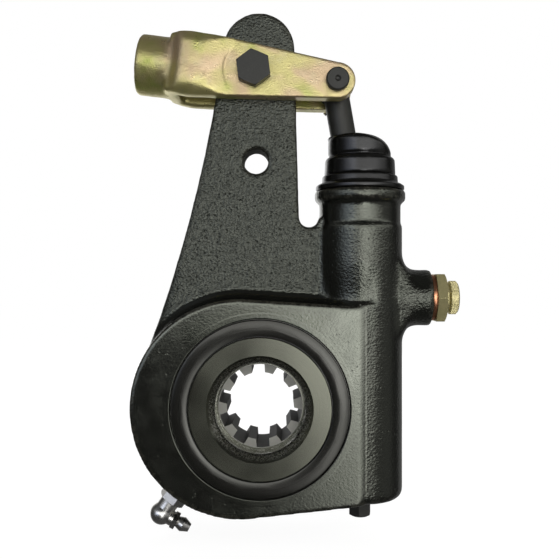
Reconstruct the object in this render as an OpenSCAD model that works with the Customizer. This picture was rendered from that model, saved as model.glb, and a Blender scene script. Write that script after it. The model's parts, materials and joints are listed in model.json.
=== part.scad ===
// Automatic brake slack adjuster for a splined brake camshaft.
// Millimetres. The camshaft axis is Y, through the origin, and the arm points up along Z.

/* [Arm] */
// Camshaft centre up to the clevis pin centre
arm_length = 152.4; // [130:0.1:180]
// Clevis pin centre, sideways from the camshaft centre
pin_side = -3; // [-5:0.5:2]
// Thickness of the flat arm
arm_t = 16; // [12:0.5:17]
// Radius of the rounded end of the arm
arm_end_r = 16.4; // [14:0.1:19]
// Centre of the rounded end, sideways from the camshaft centre
arm_end_side = -0.8; // [-4:0.2:2]
// Clevis pin centre up to the top of the arm
arm_over = 28.6; // [24:0.2:34]
// Radius of the long hollow flank on the left
flank_r = 650; // [500:10:1200]
// Spare hole centre below the clevis pin centre
spare_drop = 40; // [32:0.5:50]
// Radius of the spare hole
spare_hole_r = 5.75; // [3:0.05:7]
// Width of the notch between the arm and the barrel
notch_w = 9.1; // [6:0.1:11]
// Bottom of the notch, above the camshaft centre
notch_z = 82; // [70:0.5:90]

/* [Gear case] */
// Radius of the round left side of the gear case
case_r = 49.2; // [47:0.1:54]
// Centre of that round side, sideways from the camshaft centre
case_side = -9; // [-12:0.5:-4]
// Half of the gear case thickness
case_half = 20.2; // [19:0.1:22]
// Height of the case at its right end
case_right_z = 45.7; // [42:0.1:48]
// Hollow fillet between the arm and the case
case_fillet = 7; // [4:0.5:9]

/* [Camshaft spline] */
// Number of spline grooves in the gear
spline_count = 10; // [6:2:14]
// Radius to the bottom of a spline groove
spline_major_r = 19.05; // [17.5:0.05:19.5]
// Radius to the top of a spline tooth
spline_minor_r = 15.43; // [13.5:0.01:16.5]
// Width of a spline groove
spline_slot_w = 5.94; // [4.5:0.02:6.4]
// Angle that the splines stand turned in the gear
spline_turn = 3.6; // [0:0.2:18]
// Depth from the front of the hub to the splines
spline_depth = 11.6; // [8:0.2:14]

/* [Worm and worm gear] */
// Teeth of the worm gear
gear_teeth = 22; // [20:1:24]
// Gear axis to worm axis
centre_distance = 46.5; // [45.5:0.1:47.5]
// Module of the gear teeth
gear_module = 3.15; // [3.05:0.01:3.2]
// Width of the toothed rim
rim_w = 18; // [14:0.5:20]
// Play between worm thread and gear teeth, along the pitch line
tooth_play = 0.45; // [0.35:0.05:0.8]
// Radius of the gear hub
hub_r = 32.3; // [31:0.1:33.5]
// How far the hub stands out of the case on each side
hub_proud = 0.5; // [0.2:0.1:1.5]
// Length of the worm thread
thread_l = 35; // [30:1:36]
// Radius of the worm journals
journal_r = 8; // [7:0.1:8.2]
// Width across flats of the adjusting hexagon
hex_af = 9.5; // [9:0.1:12.5]
// How far the hexagon stands out below the barrel
hex_out = 9.5; // [6:0.5:12]

/* [Barrel] */
// Outside radius of the barrel
barrel_r = 19.7; // [19.5:0.1:21]
// Bore of the barrel
bore_r = 15; // [14.9:0.1:15.6]
// Top of the barrel, above the camshaft centre
barrel_top = 99.5; // [97:0.5:103]
// Bottom of the barrel, below the camshaft centre
barrel_low = 43.5; // [42:0.5:48]
// Height of the collar at the top of the barrel
collar_h = 4.8; // [4:0.2:9]
// How far the collar stands out from the barrel
collar_out = 1.5; // [0.4:0.1:2]

/* [Clevis] */
// Angle that the clevis hangs down at its link end
clevis_tilt = 7; // [4:0.5:10]
// Clevis pin centre to link pin centre
link_reach = 38.1; // [36:0.1:40]
// Thickness of each ear
ear_t = 7.7; // [6:0.1:9]
// Gap between each ear and the arm
ear_gap = 0.4; // [0.2:0.05:0.8]
// Ear radius around the clevis pin
ear_r = 12; // [10.5:0.1:13]
// Ear radius around the link pin
ear_tip_r = 8.2; // [7:0.1:9.5]
// Half height of the closed end of the fork
fork_h = 14.4; // [13:0.1:16]
// Clevis pin centre to the closed end of the slot
slot_end = 33.5; // [32:0.5:38]
// Radius of the threaded boss
boss_r = 14; // [12:0.1:15]
// Clevis pin centre to the end of the threaded boss
boss_end = 54.5; // [52:0.5:64]
// How far the cheeks at the closed end bulge past the ears
cheek_out = 2.4; // [1:0.1:4]
// Radius of the hole for the push rod thread
thread_r = 7.25; // [6:0.05:8.5]

/* [Pins] */
// Radius of the clevis pin
pin_r = 6.35; // [5.5:0.05:7]
// Width across flats of the clevis pin head
pin_head_af = 14.3; // [13.2:0.1:17]
// Height of the clevis pin head
pin_head_h = 5; // [3:0.2:7]
// Radius of the link pin
link_pin_r = 4; // [3:0.05:4.4]
// Radius of the link pin head
link_head_r = 5.2; // [4.8:0.1:6.5]
// Height of the link pin head
link_head_h = 3.2; // [2:0.2:5]
// Radius of the cotter pin wire
cotter_r = 1.2; // [0.8:0.05:1.4]
// Wall of the bush in the arm
bush_wall = 2; // [1.2:0.1:2.6]

/* [Actuator rod and piston] */
// Radius of the actuator rod
rod_r = 6; // [5:0.1:6.5]
// Link pin centre to piston pin centre along the rod
rod_l = 67.8; // [64:0.1:72]
// Thickness of the flat foot of the rod
foot_t = 8; // [6:0.2:9]
// Radius of the piston pin
piston_pin_r = 2.5; // [2:0.1:3]
// Free play of the rod foot around the piston pin
foot_play = 1.3; // [1.2:0.05:1.6]
// Radius of the piston neck
piston_r = 9.4; // [8.6:0.1:9.6]
// Outside radius of the sleeve over its teeth
sleeve_r = 13.4; // [12.8:0.1:13.8]
// Number of sleeve teeth
sleeve_teeth = 16; // [12:1:20]
// Length that a sleeve tooth needs for one full turn
sleeve_lead = 80; // [60:1:120]

/* [Boot] */
// Outside radius of the boot cover flange
flange_r = 20.7; // [19.8:0.1:21.5]
// Height of the boot cover flange
flange_h = 2.9; // [2:0.1:4]
// Outside radius of the lower tier of the boot
tier_r = 16.6; // [16.2:0.1:17.2]
// Height of the lower tier of the boot
tier_h = 8.8; // [6:0.2:12]
// Outside radius of the dome of the boot
dome_r = 14.9; // [14.4:0.1:15.4]
// Height of the dome of the boot
dome_h = 9.8; // [7.6:0.2:12]
// Rounding of the dome on its low side
dome_fall = 10; // [7:0.5:12]
// Wall of the boot
boot_wall = 2; // [1.4:0.1:2.4]

/* [Pawl] */
// Height of the pawl axis above the camshaft centre
pawl_z = 49.4; // [47.5:0.1:52]
// Radius of the pawl boss
pawl_boss_r = 13.1; // [12.2:0.1:14]
// Barrel axis to the end of the pawl boss
pawl_boss_l = 32.8; // [32:0.2:37]
// Width across flats of the pawl cap
cap_af = 22; // [20:0.2:24]
// Thickness of the hexagon of the pawl cap
cap_h = 4.6; // [4.5:0.1:7]
// Thickness of the cap gasket
gasket_t = 2; // [1:0.1:2.5]
// Radius of the pull button
button_r = 7.7; // [6.5:0.1:9]
// Thickness of the pull button rim
button_t = 4.2; // [2:0.1:5]
// How far the pawl can be pulled out
pawl_pull = 2; // [1:0.1:2.4]

/* [Grease fitting] */
// Direction of the fitting around the case, from the right and anticlockwise
fitting_angle = 234; // [225:1:245]
// Width across flats of the fitting base
fitting_af = 11; // [9:0.2:13]
// Case surface to the centre of the round elbow
elbow_out = 15.6; // [13:0.2:18]
// Direction of the nipple, below the horizontal
nipple_drop = 28.5; // [10:0.5:40]

/* [Clearances] */
// Radial play of a pin in its hole
run_gap = 0.05; // [0.03:0.01:0.1]
// Radial play where a turning part passes a fixed one
turn_gap = 0.3; // [0.25:0.05:0.5]
// Radial play of a part that is pushed or screwed home
seat_gap = 0.02; // [0.01:0.01:0.05]

/* [Hidden] */
$fn = 96;
e = 0.5;
bite = 0.1;
bx = centre_distance;
case_edge = bx + 0.4;
gear_pitch_r = gear_module * gear_teeth / 2;
worm_pitch_r = centre_distance - gear_pitch_r;
thread_pitch = 2 * PI * gear_pitch_r / gear_teeth;
tooth_add = 0.89 * gear_module;
tooth_ded = 1.06 * gear_module;
gear_tip_r = gear_pitch_r + tooth_add;
gear_root_r = gear_pitch_r - tooth_ded;
worm_tip_r = worm_pitch_r + tooth_add;
worm_root_r = worm_pitch_r - tooth_ded;
lead_angle = atan(thread_pitch / (2 * PI * worm_pitch_r));
hub_half = case_half + hub_proud;
shoulder_y = worm_tip_r + 0.4;
shoulder_r = hub_r + 1.7;
worm_room = worm_tip_r + turn_gap;
worm_side = bx - shoulder_r;
shoulder_in = max(rim_w / 2 - 0.4, sqrt(max(0, worm_room * worm_room - worm_side * worm_side)));
washer_t = 1.5;
washer_w = 5.35;
washer_out = hub_r + turn_gap + washer_w;
washer_y = shoulder_y + 0.15;
wall_y = washer_y + washer_t + 0.05;
chamber_r = max(gear_tip_r + 0.8, washer_out + turn_gap);
cover_r = chamber_r + 2.2;
rear_r = hub_r + 3;
arm_half = arm_t / 2;
ear_in = arm_half + ear_gap;
ear_out = ear_in + ear_t;
fork_start = slot_end + 6.5;
cheek_from = 8;
pin_pos = [pin_side, 0, arm_length];
link_x = pin_side + link_reach * cos(clevis_tilt);
link_z = arm_length - link_reach * sin(clevis_tilt);
rod_tilt = asin((bx - link_x) / rod_l);
piston_z = link_z - rod_l * cos(rod_tilt);
arm_end_c = [arm_end_side, arm_length + arm_over - arm_end_r];
case_c = [case_side, 0];
notch_r = notch_w / 2;
arm_right = bx - barrel_r - notch_w;
bush_r = pin_r + run_gap + bush_wall;
disc_low = piston_z - 15;
disc_top = piston_z - 8.8;
sleeve_top = disc_top + 3.8;
sleeve_bore = journal_r - 0.5;
disc_r = 10.2;
shank_top = disc_low - 6.4;
bush_low = thread_l / 2 + 4.6;
bush_top = bush_low + 7;
sleeve_low = bush_top + 9.37;
key_l = 0.58 * (disc_low - sleeve_low);
washer_low = -thread_l / 2 - 4.8 - washer_t;
seal_r = journal_r + 3;
tier_low = barrel_top + flange_h + 3.9;
tier_top = tier_low + tier_h;
dome_top = tier_top + dome_h;
cover_lip_r = tier_r + 1.2;
boss_x = bx + pawl_boss_l;
cap_x = boss_x + gasket_t;
cap_end = cap_x + cap_h;
guide_r = 6;
cap_bore_r = 6.4;
cap_shank_r = 8.2;
shank_in = boss_x - 11;
stem_r = 2.4;
pawl_tip = bx + sleeve_r + turn_gap;
spring_room = 10.4;
cap_wall_x = cap_x + 1.4;
pawl_back = cap_wall_x - spring_room - pawl_pull;

// Helpers

function unit(v) = v / norm(v);

// Touching point on a circle for a line from an outside point, on the side given by s
function touch(c, r, p, s) =
    let (d = p - c, a = atan2(d[1], d[0]) + s * acos(r / norm(d)))
    c + r * [cos(a), sin(a)];

// Centre of the circle of radius q that touches two circles from the left
function left_centre(c1, r1, c2, r2, q) =
    let (
        d = norm(c2 - c1),
        u = (c2 - c1) / d,
        a = q + r1,
        b = q + r2,
        x = (a * a - b * b + d * d) / (2 * d),
        h = sqrt(a * a - x * x)
    )
    c1 + u * x + [u[1], -u[0]] * h;

// Stands a flat outline in X and Z upright, centred on the plane Y = 0
module upright(t) {
    rotate([90, 0, 0])
        linear_extrude(t, center = true)
            children();
}

// A round bar along Y between two depths
module bar_y(r, y0, y1) {
    translate([0, y1, 0])
        rotate([90, 0, 0])
            cylinder(r = r, h = y1 - y0);
}

// A round bar along X between two places
module bar_x(r, x0, x1) {
    translate([x0, 0, 0])
        rotate([0, 90, 0])
            cylinder(r = r, h = x1 - x0);
}

// Turns a profile of radius and height about the Y axis, height running to the back
module turned_y() {
    rotate([-90, 0, 0])
        rotate_extrude()
            children();
}

// Turns a profile of radius and height about the X axis
module turned_x() {
    rotate([0, 90, 0])
        rotate_extrude()
            children();
}

// A flat ring between two radii and two heights
module ring(r0, r1, z0, z1) {
    rotate_extrude()
        translate([r0, z0])
            square([r1 - r0, z1 - z0]);
}

// A hexagon bar with its corners taken off at both ends of the height
module hexagon(af, h, c) {
    corner = af / sqrt(3);
    intersection() {
        cylinder(r = corner, h = h, $fn = 6);
        rotate_extrude()
            polygon([
                [0, 0],
                [corner + 0.1, 0],
                [corner + 0.1, h - c],
                [corner - 1.7 * c, h],
                [0, h]
            ]);
    }
}

// The hollow section of a fillet in the corner of two walls
module fillet_section(f) {
    difference() {
        translate([-e, -e])
            square(f + e);
        translate([f, f])
            circle(r = f + bite);
    }
}

// Outline of the arm, from its rounded end down into the gear case
module arm_outline() {
    flank_c = left_centre(arm_end_c, arm_end_r, case_c, case_r, flank_r);
    flank_hi = arm_end_c + arm_end_r * unit(flank_c - arm_end_c);
    flank_lo = case_c + case_r * unit(flank_c - case_c);
    shelf_z = notch_z + notch_r;
    difference() {
        union() {
            translate(arm_end_c)
                circle(r = arm_end_r);
            polygon([
                arm_end_c,
                flank_hi,
                flank_lo,
                case_c,
                [bx, 0],
                [bx, shelf_z],
                [arm_right, shelf_z],
                arm_end_c + [arm_end_r * cos(2), arm_end_r * sin(2)]
            ]);
        }
        translate(flank_c)
            circle(r = flank_r, $fn = 360);
        translate([arm_right + notch_r, shelf_z])
            circle(r = notch_r);
    }
}

// Outline of the gear case, round on the left and running into the barrel on the right
module case_outline() {
    hi = [case_edge, case_right_z];
    lo = [case_edge, 0.2 - barrel_low];
    translate(case_c)
        circle(r = case_r);
    polygon([case_c, touch(case_c, case_r - bite, hi, 1), hi, lo, touch(case_c, case_r - bite, lo, -1)]);
}

// Hollow fillet along the top of the gear case, on one face of the arm
module case_top_fillet() {
    hi = [case_edge, case_right_z];
    start = touch(case_c, case_r - bite, hi, 1);
    run = hi - start;
    flank_c = left_centre(arm_end_c, arm_end_r, case_c, case_r, flank_r);
    flank_lo = case_c + case_r * unit(flank_c - case_c);
    difference() {
        intersection() {
            union() {
                translate([case_side, -arm_half, 0])
                    rotate([90, 0, 0])
                        rotate_extrude()
                            translate([case_r, 0])
                                fillet_section(case_fillet);
                translate([start[0], -arm_half, start[1]])
                    rotate([0, -atan2(run[1], run[0]), 0])
                        translate([-2, 0, 0])
                            rotate([0, 90, 0])
                                rotate([0, 0, 180])
                                    linear_extrude(norm(run) + 2)
                                        fillet_section(case_fillet);
            }
            translate([-100, -arm_half - 20, flank_lo[1] + 6])
                cube([100 + bx, 40, 60]);
        }
        translate([flank_c[0], 0, flank_c[1]])
            bar_y(flank_r + 0.2, -50, 50, $fn = 360);
    }
}

// Hollow fillet down the barrel, on one face of the arm
module barrel_side_fillet() {
    f = 5;
    far = barrel_r + f;
    dx = sqrt(far * far - pow(arm_half + f, 2));
    toe = [bx - dx, -arm_half];
    heel = [bx, 0] + barrel_r * unit([-dx, -arm_half - f]);
    translate([0, 0, case_right_z - 2])
        linear_extrude(notch_z - case_right_z)
            difference() {
                polygon([toe, heel, heel + [2, 1], [toe[0] + 3, toe[1] + 2], toe + [0, 1]]);
                translate([bx - dx, -arm_half - f])
                    circle(r = f + bite);
            }
}

// Outside of the barrel with its rounded foot, its step and its collar
module barrel_shape() {
    foot = 4;
    step = 0.7;
    slope = 1.6;
    top_r = barrel_r + collar_out;
    translate([bx, 0, 0])
        rotate_extrude()
            union() {
                polygon([
                    [0, -barrel_low],
                    [barrel_r - foot, -barrel_low],
                    [barrel_r, foot - barrel_low],
                    [barrel_r, notch_z + 1],
                    [barrel_r - step, notch_z + 1 + step / 2],
                    [barrel_r - step, barrel_top - collar_h - slope],
                    [top_r, barrel_top - collar_h],
                    [top_r, barrel_top - 0.8],
                    [top_r - 0.8, barrel_top],
                    [0, barrel_top]
                ]);
                translate([barrel_r - foot, foot - barrel_low])
                    circle(r = foot);
            }
}

// Pawl boss with hollow flares above and below where it leaves the barrel
module pawl_boss() {
    f = 6;
    root = bx + barrel_r;
    translate([0, 0, pawl_z]) {
        bar_x(pawl_boss_r, bx, boss_x);
        intersection() {
            translate([root, 0, 0])
                turned_x()
                    difference() {
                        translate([0, -6])
                            square([pawl_boss_r + f, f + 6]);
                        translate([pawl_boss_r + f, f])
                            circle(r = f + bite);
                    }
            cube([400, 24, 80], center = true);
        }
    }
}

// Cast body

module housing() {
    color([0.09, 0.09, 0.08])
        difference() {
            union() {
                upright(arm_t)
                    arm_outline();
                upright(2 * case_half)
                    case_outline();
                barrel_shape();
                pawl_boss();
                case_top_fillet();
                mirror([0, 1, 0])
                    case_top_fillet();
                barrel_side_fillet();
                mirror([0, 1, 0])
                    barrel_side_fillet();
            }
            bar_y(chamber_r, -wall_y, wall_y);
            bar_y(cover_r, -case_half - 1, -wall_y + e);
            bar_y(rear_r, wall_y - e, case_half + 1);
            translate([bx, 0, washer_low])
                cylinder(r = bore_r, h = 200);
            translate([bx, 0, bush_top + 0.05])
                cylinder(r = bore_r + 1, h = 1.6);
            translate([bx, 0, -barrel_low - 1])
                cylinder(r = journal_r + run_gap, h = 40);
            translate([bx, 0, -barrel_low - 1])
                cylinder(r = seal_r, h = 7.5);
            translate([0, 0, pawl_z]) {
                bar_x(guide_r, bx, boss_x);
                bar_x(cap_shank_r + seat_gap, shank_in - 1, boss_x + 1);
            }
            translate(pin_pos)
                bar_y(bush_r, -50, 50);
            translate([pin_side + 0.8, 0, arm_length - spare_drop])
                bar_y(spare_hole_r, -50, 50);
            fitting_place() {
                translate([0, 0, -9])
                    cylinder(r = 4.5 + seat_gap, h = 20);
                translate([0, 0, -20])
                    cylinder(r = 2, h = 20);
                translate([0, 0, -1])
                    cylinder(r = fitting_af * 0.62, h = 10);
            }
        }
}

module arm_bush() {
    color([0.55, 0.42, 0.2])
        translate(pin_pos)
            difference() {
                bar_y(bush_r - seat_gap, -arm_half, arm_half);
                bar_y(pin_r + run_gap, -50, 50);
            }
}

// Rings around the gear hub

module front_cover() {
    in_r = hub_r + turn_gap;
    out_r = cover_r - seat_gap;
    mid = (in_r + out_r) / 2;
    crown = 11;
    gap_w = 0.6;
    color([0.12, 0.12, 0.11])
        turned_y()
            difference() {
                intersection() {
                    translate([in_r, -case_half])
                        square([out_r - in_r, case_half - wall_y]);
                    translate([mid, crown - case_half])
                        circle(r = crown);
                }
                translate([out_r - gap_w, -case_half - 1])
                    square([2 * gap_w, 3]);
                translate([in_r - 1, -case_half + 1.3])
                    square([2.6, 1.2]);
            }
}

module front_seal() {
    color([0.05, 0.05, 0.05])
        rotate([-90, 0, 0])
            ring(hub_r + run_gap, hub_r + turn_gap + 1.5, -case_half + 1.35, -case_half + 2.45);
}

module front_washer() {
    color([0.6, 0.47, 0.24])
        rotate([-90, 0, 0])
            ring(hub_r + turn_gap, washer_out, -washer_y - washer_t, -washer_y);
}

module rear_seal() {
    in_r = hub_r + run_gap;
    out_r = rear_r - seat_gap;
    color([0.05, 0.05, 0.05])
        turned_y()
            polygon([
                [in_r, wall_y],
                [out_r, wall_y],
                [out_r, case_half - 0.4],
                [out_r - 0.6, case_half - 0.2],
                [in_r + 1.2, case_half - 0.2],
                [in_r, case_half - 1.2]
            ]);
}

module rear_washer() {
    color([0.6, 0.47, 0.24])
        rotate([-90, 0, 0])
            ring(hub_r + turn_gap, washer_out, washer_y, washer_y + washer_t);
}

// Worm gear

// One involute flank point at a radius, as an angle from the middle of the tooth
function flank_angle(r, half) =
    let (
        rb = gear_pitch_r * cos(20),
        inv_p = tan(20) - 20 * PI / 180,
        a = acos(min(1, rb / r))
    )
    half + (inv_p - (tan(a) - a * PI / 180)) * 180 / PI;

// Outline of the toothed rim with a tooth gap pointing to the worm
module gear_outline() {
    step = 360 / gear_teeth;
    half = 90 * (thread_pitch - tooth_play) / (PI * gear_pitch_r) / 2;
    radii = [for (k = [0:3]) gear_root_r + (gear_tip_r - gear_root_r) * k / 3];
    points = [
        for (t = [0:gear_teeth - 1])
            let (mid = (t + 0.5) * step)
            each concat(
                [for (k = [0:3]) radii[k] * [cos(mid - flank_angle(radii[k], half)),
                                             sin(mid - flank_angle(radii[k], half))]],
                [for (k = [3:-1:0]) radii[k] * [cos(mid + flank_angle(radii[k], half)),
                                                sin(mid + flank_angle(radii[k], half))]]
            )
    ];
    polygon(points);
}

module worm_gear() {
    lean = rim_w * tan(lead_angle) / gear_pitch_r * 180 / PI;
    mouth = spline_major_r + 4.9;
    throat = spline_major_r + 1.5;
    color([0.3, 0.3, 0.3])
        difference() {
            union() {
                rotate([90, 0, 0])
                    rotate(-lean / 2)
                        linear_extrude(rim_w, center = true, twist = -lean, slices = 4, $fn = 12)
                            gear_outline();
                turned_y()
                    polygon([
                        [0, -hub_half],
                        [hub_r - 0.5, -hub_half],
                        [hub_r, 0.5 - hub_half],
                        [hub_r, -shoulder_y],
                        [shoulder_r, -shoulder_y],
                        [shoulder_r, -shoulder_in],
                        [gear_root_r - 2, -shoulder_in],
                        [gear_root_r - 2, shoulder_in],
                        [shoulder_r, shoulder_in],
                        [shoulder_r, shoulder_y],
                        [hub_r, shoulder_y],
                        [hub_r, hub_half - 0.5],
                        [hub_r - 0.5, hub_half],
                        [0, hub_half]
                    ]);
            }
            turned_y()
                polygon([
                    [0, -hub_half - 1],
                    [mouth + 1, -hub_half - 1],
                    [mouth, -hub_half],
                    [throat + 0.6, 3.2 - hub_half],
                    [throat, 4.4 - hub_half],
                    [throat, spline_depth - hub_half],
                    [spline_minor_r, spline_depth - hub_half],
                    [spline_minor_r, hub_half - 0.8],
                    [spline_minor_r + 1.8, hub_half + 1],
                    [0, hub_half + 1]
                ]);
            intersection() {
                bar_y(spline_major_r, -hub_half, hub_half + 1);
                rotate([0, -spline_turn, 0])
                    for (k = [0:spline_count / 2 - 1])
                        rotate([0, k * 360 / spline_count, 0])
                            cube([spline_slot_w, 100, 100], center = true);
            }
        }
}

// Worm and what holds it in the barrel

// Radius of the thread at a turn angle, counted from the middle of the crest
function thread_r_at(a) =
    let (
        z = abs(a) / 360 * thread_pitch,
        half = (thread_pitch / 2 - tooth_play / 2) / 2,
        r = worm_pitch_r + (half - z) / tan(20)
    )
    max(worm_root_r, min(worm_tip_r, r));

module worm() {
    crest = 360 * ((thread_pitch / 2 - tooth_play / 2) / 2 - tooth_add * tan(20)) / thread_pitch;
    root = 360 * ((thread_pitch / 2 - tooth_play / 2) / 2 + tooth_ded * tan(20)) / thread_pitch;
    side = [for (k = [0:4]) crest * k / 4];
    flank = [for (k = [1:3]) crest + (root - crest) * k / 3];
    base = [for (k = [1:4]) root + (180 - root) * k / 4];
    right = concat(side, flank, base);
    left = [for (k = [len(right) - 2:-1:1]) -right[k]];
    angles = concat(right, left);
    turn = 360 * thread_l / thread_pitch;
    color([0.42, 0.42, 0.42])
        translate([bx, 0, 0]) {
            difference() {
                union() {
                    rotate(180 - turn / 2)
                        linear_extrude(thread_l, center = true, twist = -turn, slices = 84, $fn = 12)
                            polygon([for (a = angles) thread_r_at(a) * [cos(a), sin(a)]]);
                    rotate_extrude()
                        polygon([
                            [0, -barrel_low - 0.8],
                            [journal_r, -barrel_low - 0.8],
                            [journal_r, -thread_l / 2 - 4.6],
                            [worm_root_r + 2, -thread_l / 2 - 4.6],
                            [worm_root_r + 2, -thread_l / 2 - 2],
                            [worm_root_r - 0.3, -thread_l / 2 - 0.5],
                            [worm_root_r - 0.3, thread_l / 2 + 0.5],
                            [worm_root_r + 2, thread_l / 2 + 2],
                            [worm_root_r + 2, thread_l / 2 + 4.4],
                            [journal_r, thread_l / 2 + 4.4],
                            [journal_r, bush_top + 2],
                            [journal_r - 1, bush_top + 3],
                            [journal_r - 1, shank_top - 1],
                            [journal_r - 2, shank_top],
                            [0, shank_top]
                        ]);
                    translate([0, 0, -barrel_low - 0.7])
                        mirror([0, 0, 1])
                            rotate(20)
                                hexagon(hex_af, hex_out - 0.7, 1);
                }
                for (k = [0:5])
                    rotate(k * 60)
                        translate([journal_r - 2.5, -1.5, bush_top + 3.5])
                            cube([10, 3, 100]);
            }
        }
}

module worm_washer() {
    color([0.6, 0.47, 0.24])
        translate([bx, 0, 0])
            ring(journal_r + turn_gap, bore_r - turn_gap, washer_low, washer_low + washer_t);
}

module worm_bush() {
    color([0.55, 0.42, 0.2])
        translate([bx, 0, 0])
            ring(journal_r + run_gap, bore_r - seat_gap, bush_low, bush_top);
}

module worm_ring() {
    color([0.35, 0.35, 0.36])
        translate([bx, 0, bush_top + 0.1])
            rotate(20)
                rotate_extrude(angle = 320)
                    translate([bore_r - 2, 0])
                        square([2.9, 1.5]);
}

module worm_seal() {
    color([0.05, 0.05, 0.05])
        translate([bx, 0, -barrel_low])
            rotate_extrude()
                polygon([
                    [journal_r + run_gap, 0.8],
                    [journal_r + 1, 0.2],
                    [seal_r - seat_gap, 0.2],
                    [seal_r - seat_gap, 6.4],
                    [journal_r + run_gap, 6.4]
                ]);
}

// Sleeve, piston and rod

module sleeve() {
    step = 360 / sleeve_teeth;
    tooth_h = 1.2;
    cut_l = disc_low - sleeve_low - 2;
    color([0.45, 0.45, 0.44])
        translate([bx, 0, sleeve_low]) {
            difference() {
                union() {
                    linear_extrude(cut_l, twist = -360 * cut_l / sleeve_lead, slices = 12, $fn = 12)
                        polygon([
                            for (k = [0:sleeve_teeth - 1])
                                each [
                                    (sleeve_r - tooth_h) * [cos(k * step), sin(k * step)],
                                    (sleeve_r - 0.3) * [cos((k + 0.3) * step), sin((k + 0.3) * step)],
                                    sleeve_r * [cos((k + 0.8) * step), sin((k + 0.8) * step)]
                                ]
                        ]);
                    translate([0, 0, cut_l - 1])
                        cylinder(r = sleeve_r - tooth_h - 0.1, h = sleeve_top - sleeve_low - cut_l + 1);
                }
                translate([0, 0, -1])
                    cylinder(r = journal_r - 1 + 0.2, h = 100);
                translate([0, 0, disc_low - sleeve_low - 0.3])
                    cylinder(r = disc_r + 0.15, h = 100);
                translate([0, 0, disc_top - sleeve_low + 0.2])
                    cylinder(r = disc_r + 1, h = 1.5);
            }
            for (k = [0:5])
                rotate(k * 60)
                    translate([journal_r - 2.1, -1.3, 2])
                        cube([2.6, 2.6, key_l]);
        }
}

module piston_ring() {
    color([0.35, 0.35, 0.36])
        translate([bx, 0, disc_top + 0.25])
            rotate(70)
                rotate_extrude(angle = 310)
                    translate([piston_r + 0.2, 0])
                        square([disc_r + 0.9 - piston_r - 0.2, 1.4]);
}

module piston() {
    head = piston_z + 7;
    color([0.42, 0.42, 0.43])
        translate([bx, 0, 0])
            difference() {
                union() {
                    translate([0, 0, disc_low])
                        cylinder(r = disc_r, h = disc_top - disc_low);
                    translate([0, 0, disc_low])
                        cylinder(r = piston_r, h = head - disc_low);
                }
                translate([-30, -foot_t / 2 - turn_gap, piston_z - 8])
                    cube([60, foot_t + 2 * turn_gap, 40]);
                translate([0, 0, piston_z])
                    bar_y(piston_pin_r + run_gap, -30, 30);
            }
}

module piston_pin() {
    color([0.5, 0.5, 0.5])
        translate([bx, 0, piston_z])
            bar_y(piston_pin_r, -piston_r + 1, piston_r - 1);
}

// Puts a shape on the leaning rod, with the piston pin as origin and the rod along Z
module on_rod() {
    translate([bx, 0, piston_z])
        rotate([0, -rod_tilt, 0])
            children();
}

module actuator_rod() {
    eye_r = rod_r + 1.6;
    eye_half = ear_in - 1.4;
    foot_r = rod_r - 0.2;
    color([0.1, 0.1, 0.1])
        on_rod()
            difference() {
                union() {
                    translate([0, 0, rod_l])
                        bar_y(eye_r, -eye_half, eye_half);
                    translate([0, 0, 11])
                        cylinder(r = rod_r, h = rod_l - 13);
                    bar_y(foot_r, -foot_t / 2, foot_t / 2);
                    translate([-foot_r, -foot_t / 2, 0])
                        cube([2 * foot_r, foot_t, 12]);
                }
                translate([0, 0, rod_l])
                    bar_y(link_pin_r + run_gap, -50, 50);
                bar_y(piston_pin_r + foot_play, -50, 50);
            }
}

// Boot

module boot_cover() {
    lip = tier_low;
    color([0.08, 0.08, 0.08])
        translate([bx, 0, 0])
            rotate_extrude()
                polygon([
                    [bore_r - 1.4, barrel_top - 3],
                    [bore_r - seat_gap, barrel_top - 3],
                    [bore_r - seat_gap, barrel_top],
                    [flange_r - 0.4, barrel_top],
                    [flange_r, barrel_top + 0.4],
                    [flange_r, barrel_top + flange_h - 1],
                    [flange_r - 1.4, barrel_top + flange_h],
                    [cover_lip_r + 0.6, barrel_top + flange_h],
                    [cover_lip_r, barrel_top + flange_h + 0.8],
                    [cover_lip_r - 0.2, lip - 0.5],
                    [cover_lip_r - 0.7, lip],
                    [bore_r, lip],
                    [bore_r, barrel_top + flange_h],
                    [bore_r - 1.4, barrel_top + flange_h]
                ]);
}

// Outside of the dome, flat over the rod and rounded off on its low side
module boot_dome() {
    lean = dome_r / 2;
    edge = 2.5;
    far = dome_r + lean - 0.3;
    low = tier_top + 0.5;
    intersection() {
        translate([bx, 0, 0])
            rotate_extrude() {
                polygon([
                    [0, low],
                    [dome_r - 0.7, low],
                    [dome_r, low + 0.7],
                    [dome_r, dome_top - edge],
                    [dome_r - edge, dome_top],
                    [0, dome_top]
                ]);
                translate([dome_r - edge, dome_top - edge])
                    circle(r = edge);
            }
        translate([bx - lean, 0, 0])
            rotate_extrude() {
                polygon([
                    [0, low - 1],
                    [far, low - 1],
                    [far, dome_top - dome_fall],
                    [far - dome_fall, dome_top - bite],
                    [0, dome_top - bite]
                ]);
                translate([far - dome_fall, dome_top - dome_fall - bite])
                    circle(r = dome_fall);
            }
    }
}

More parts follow.
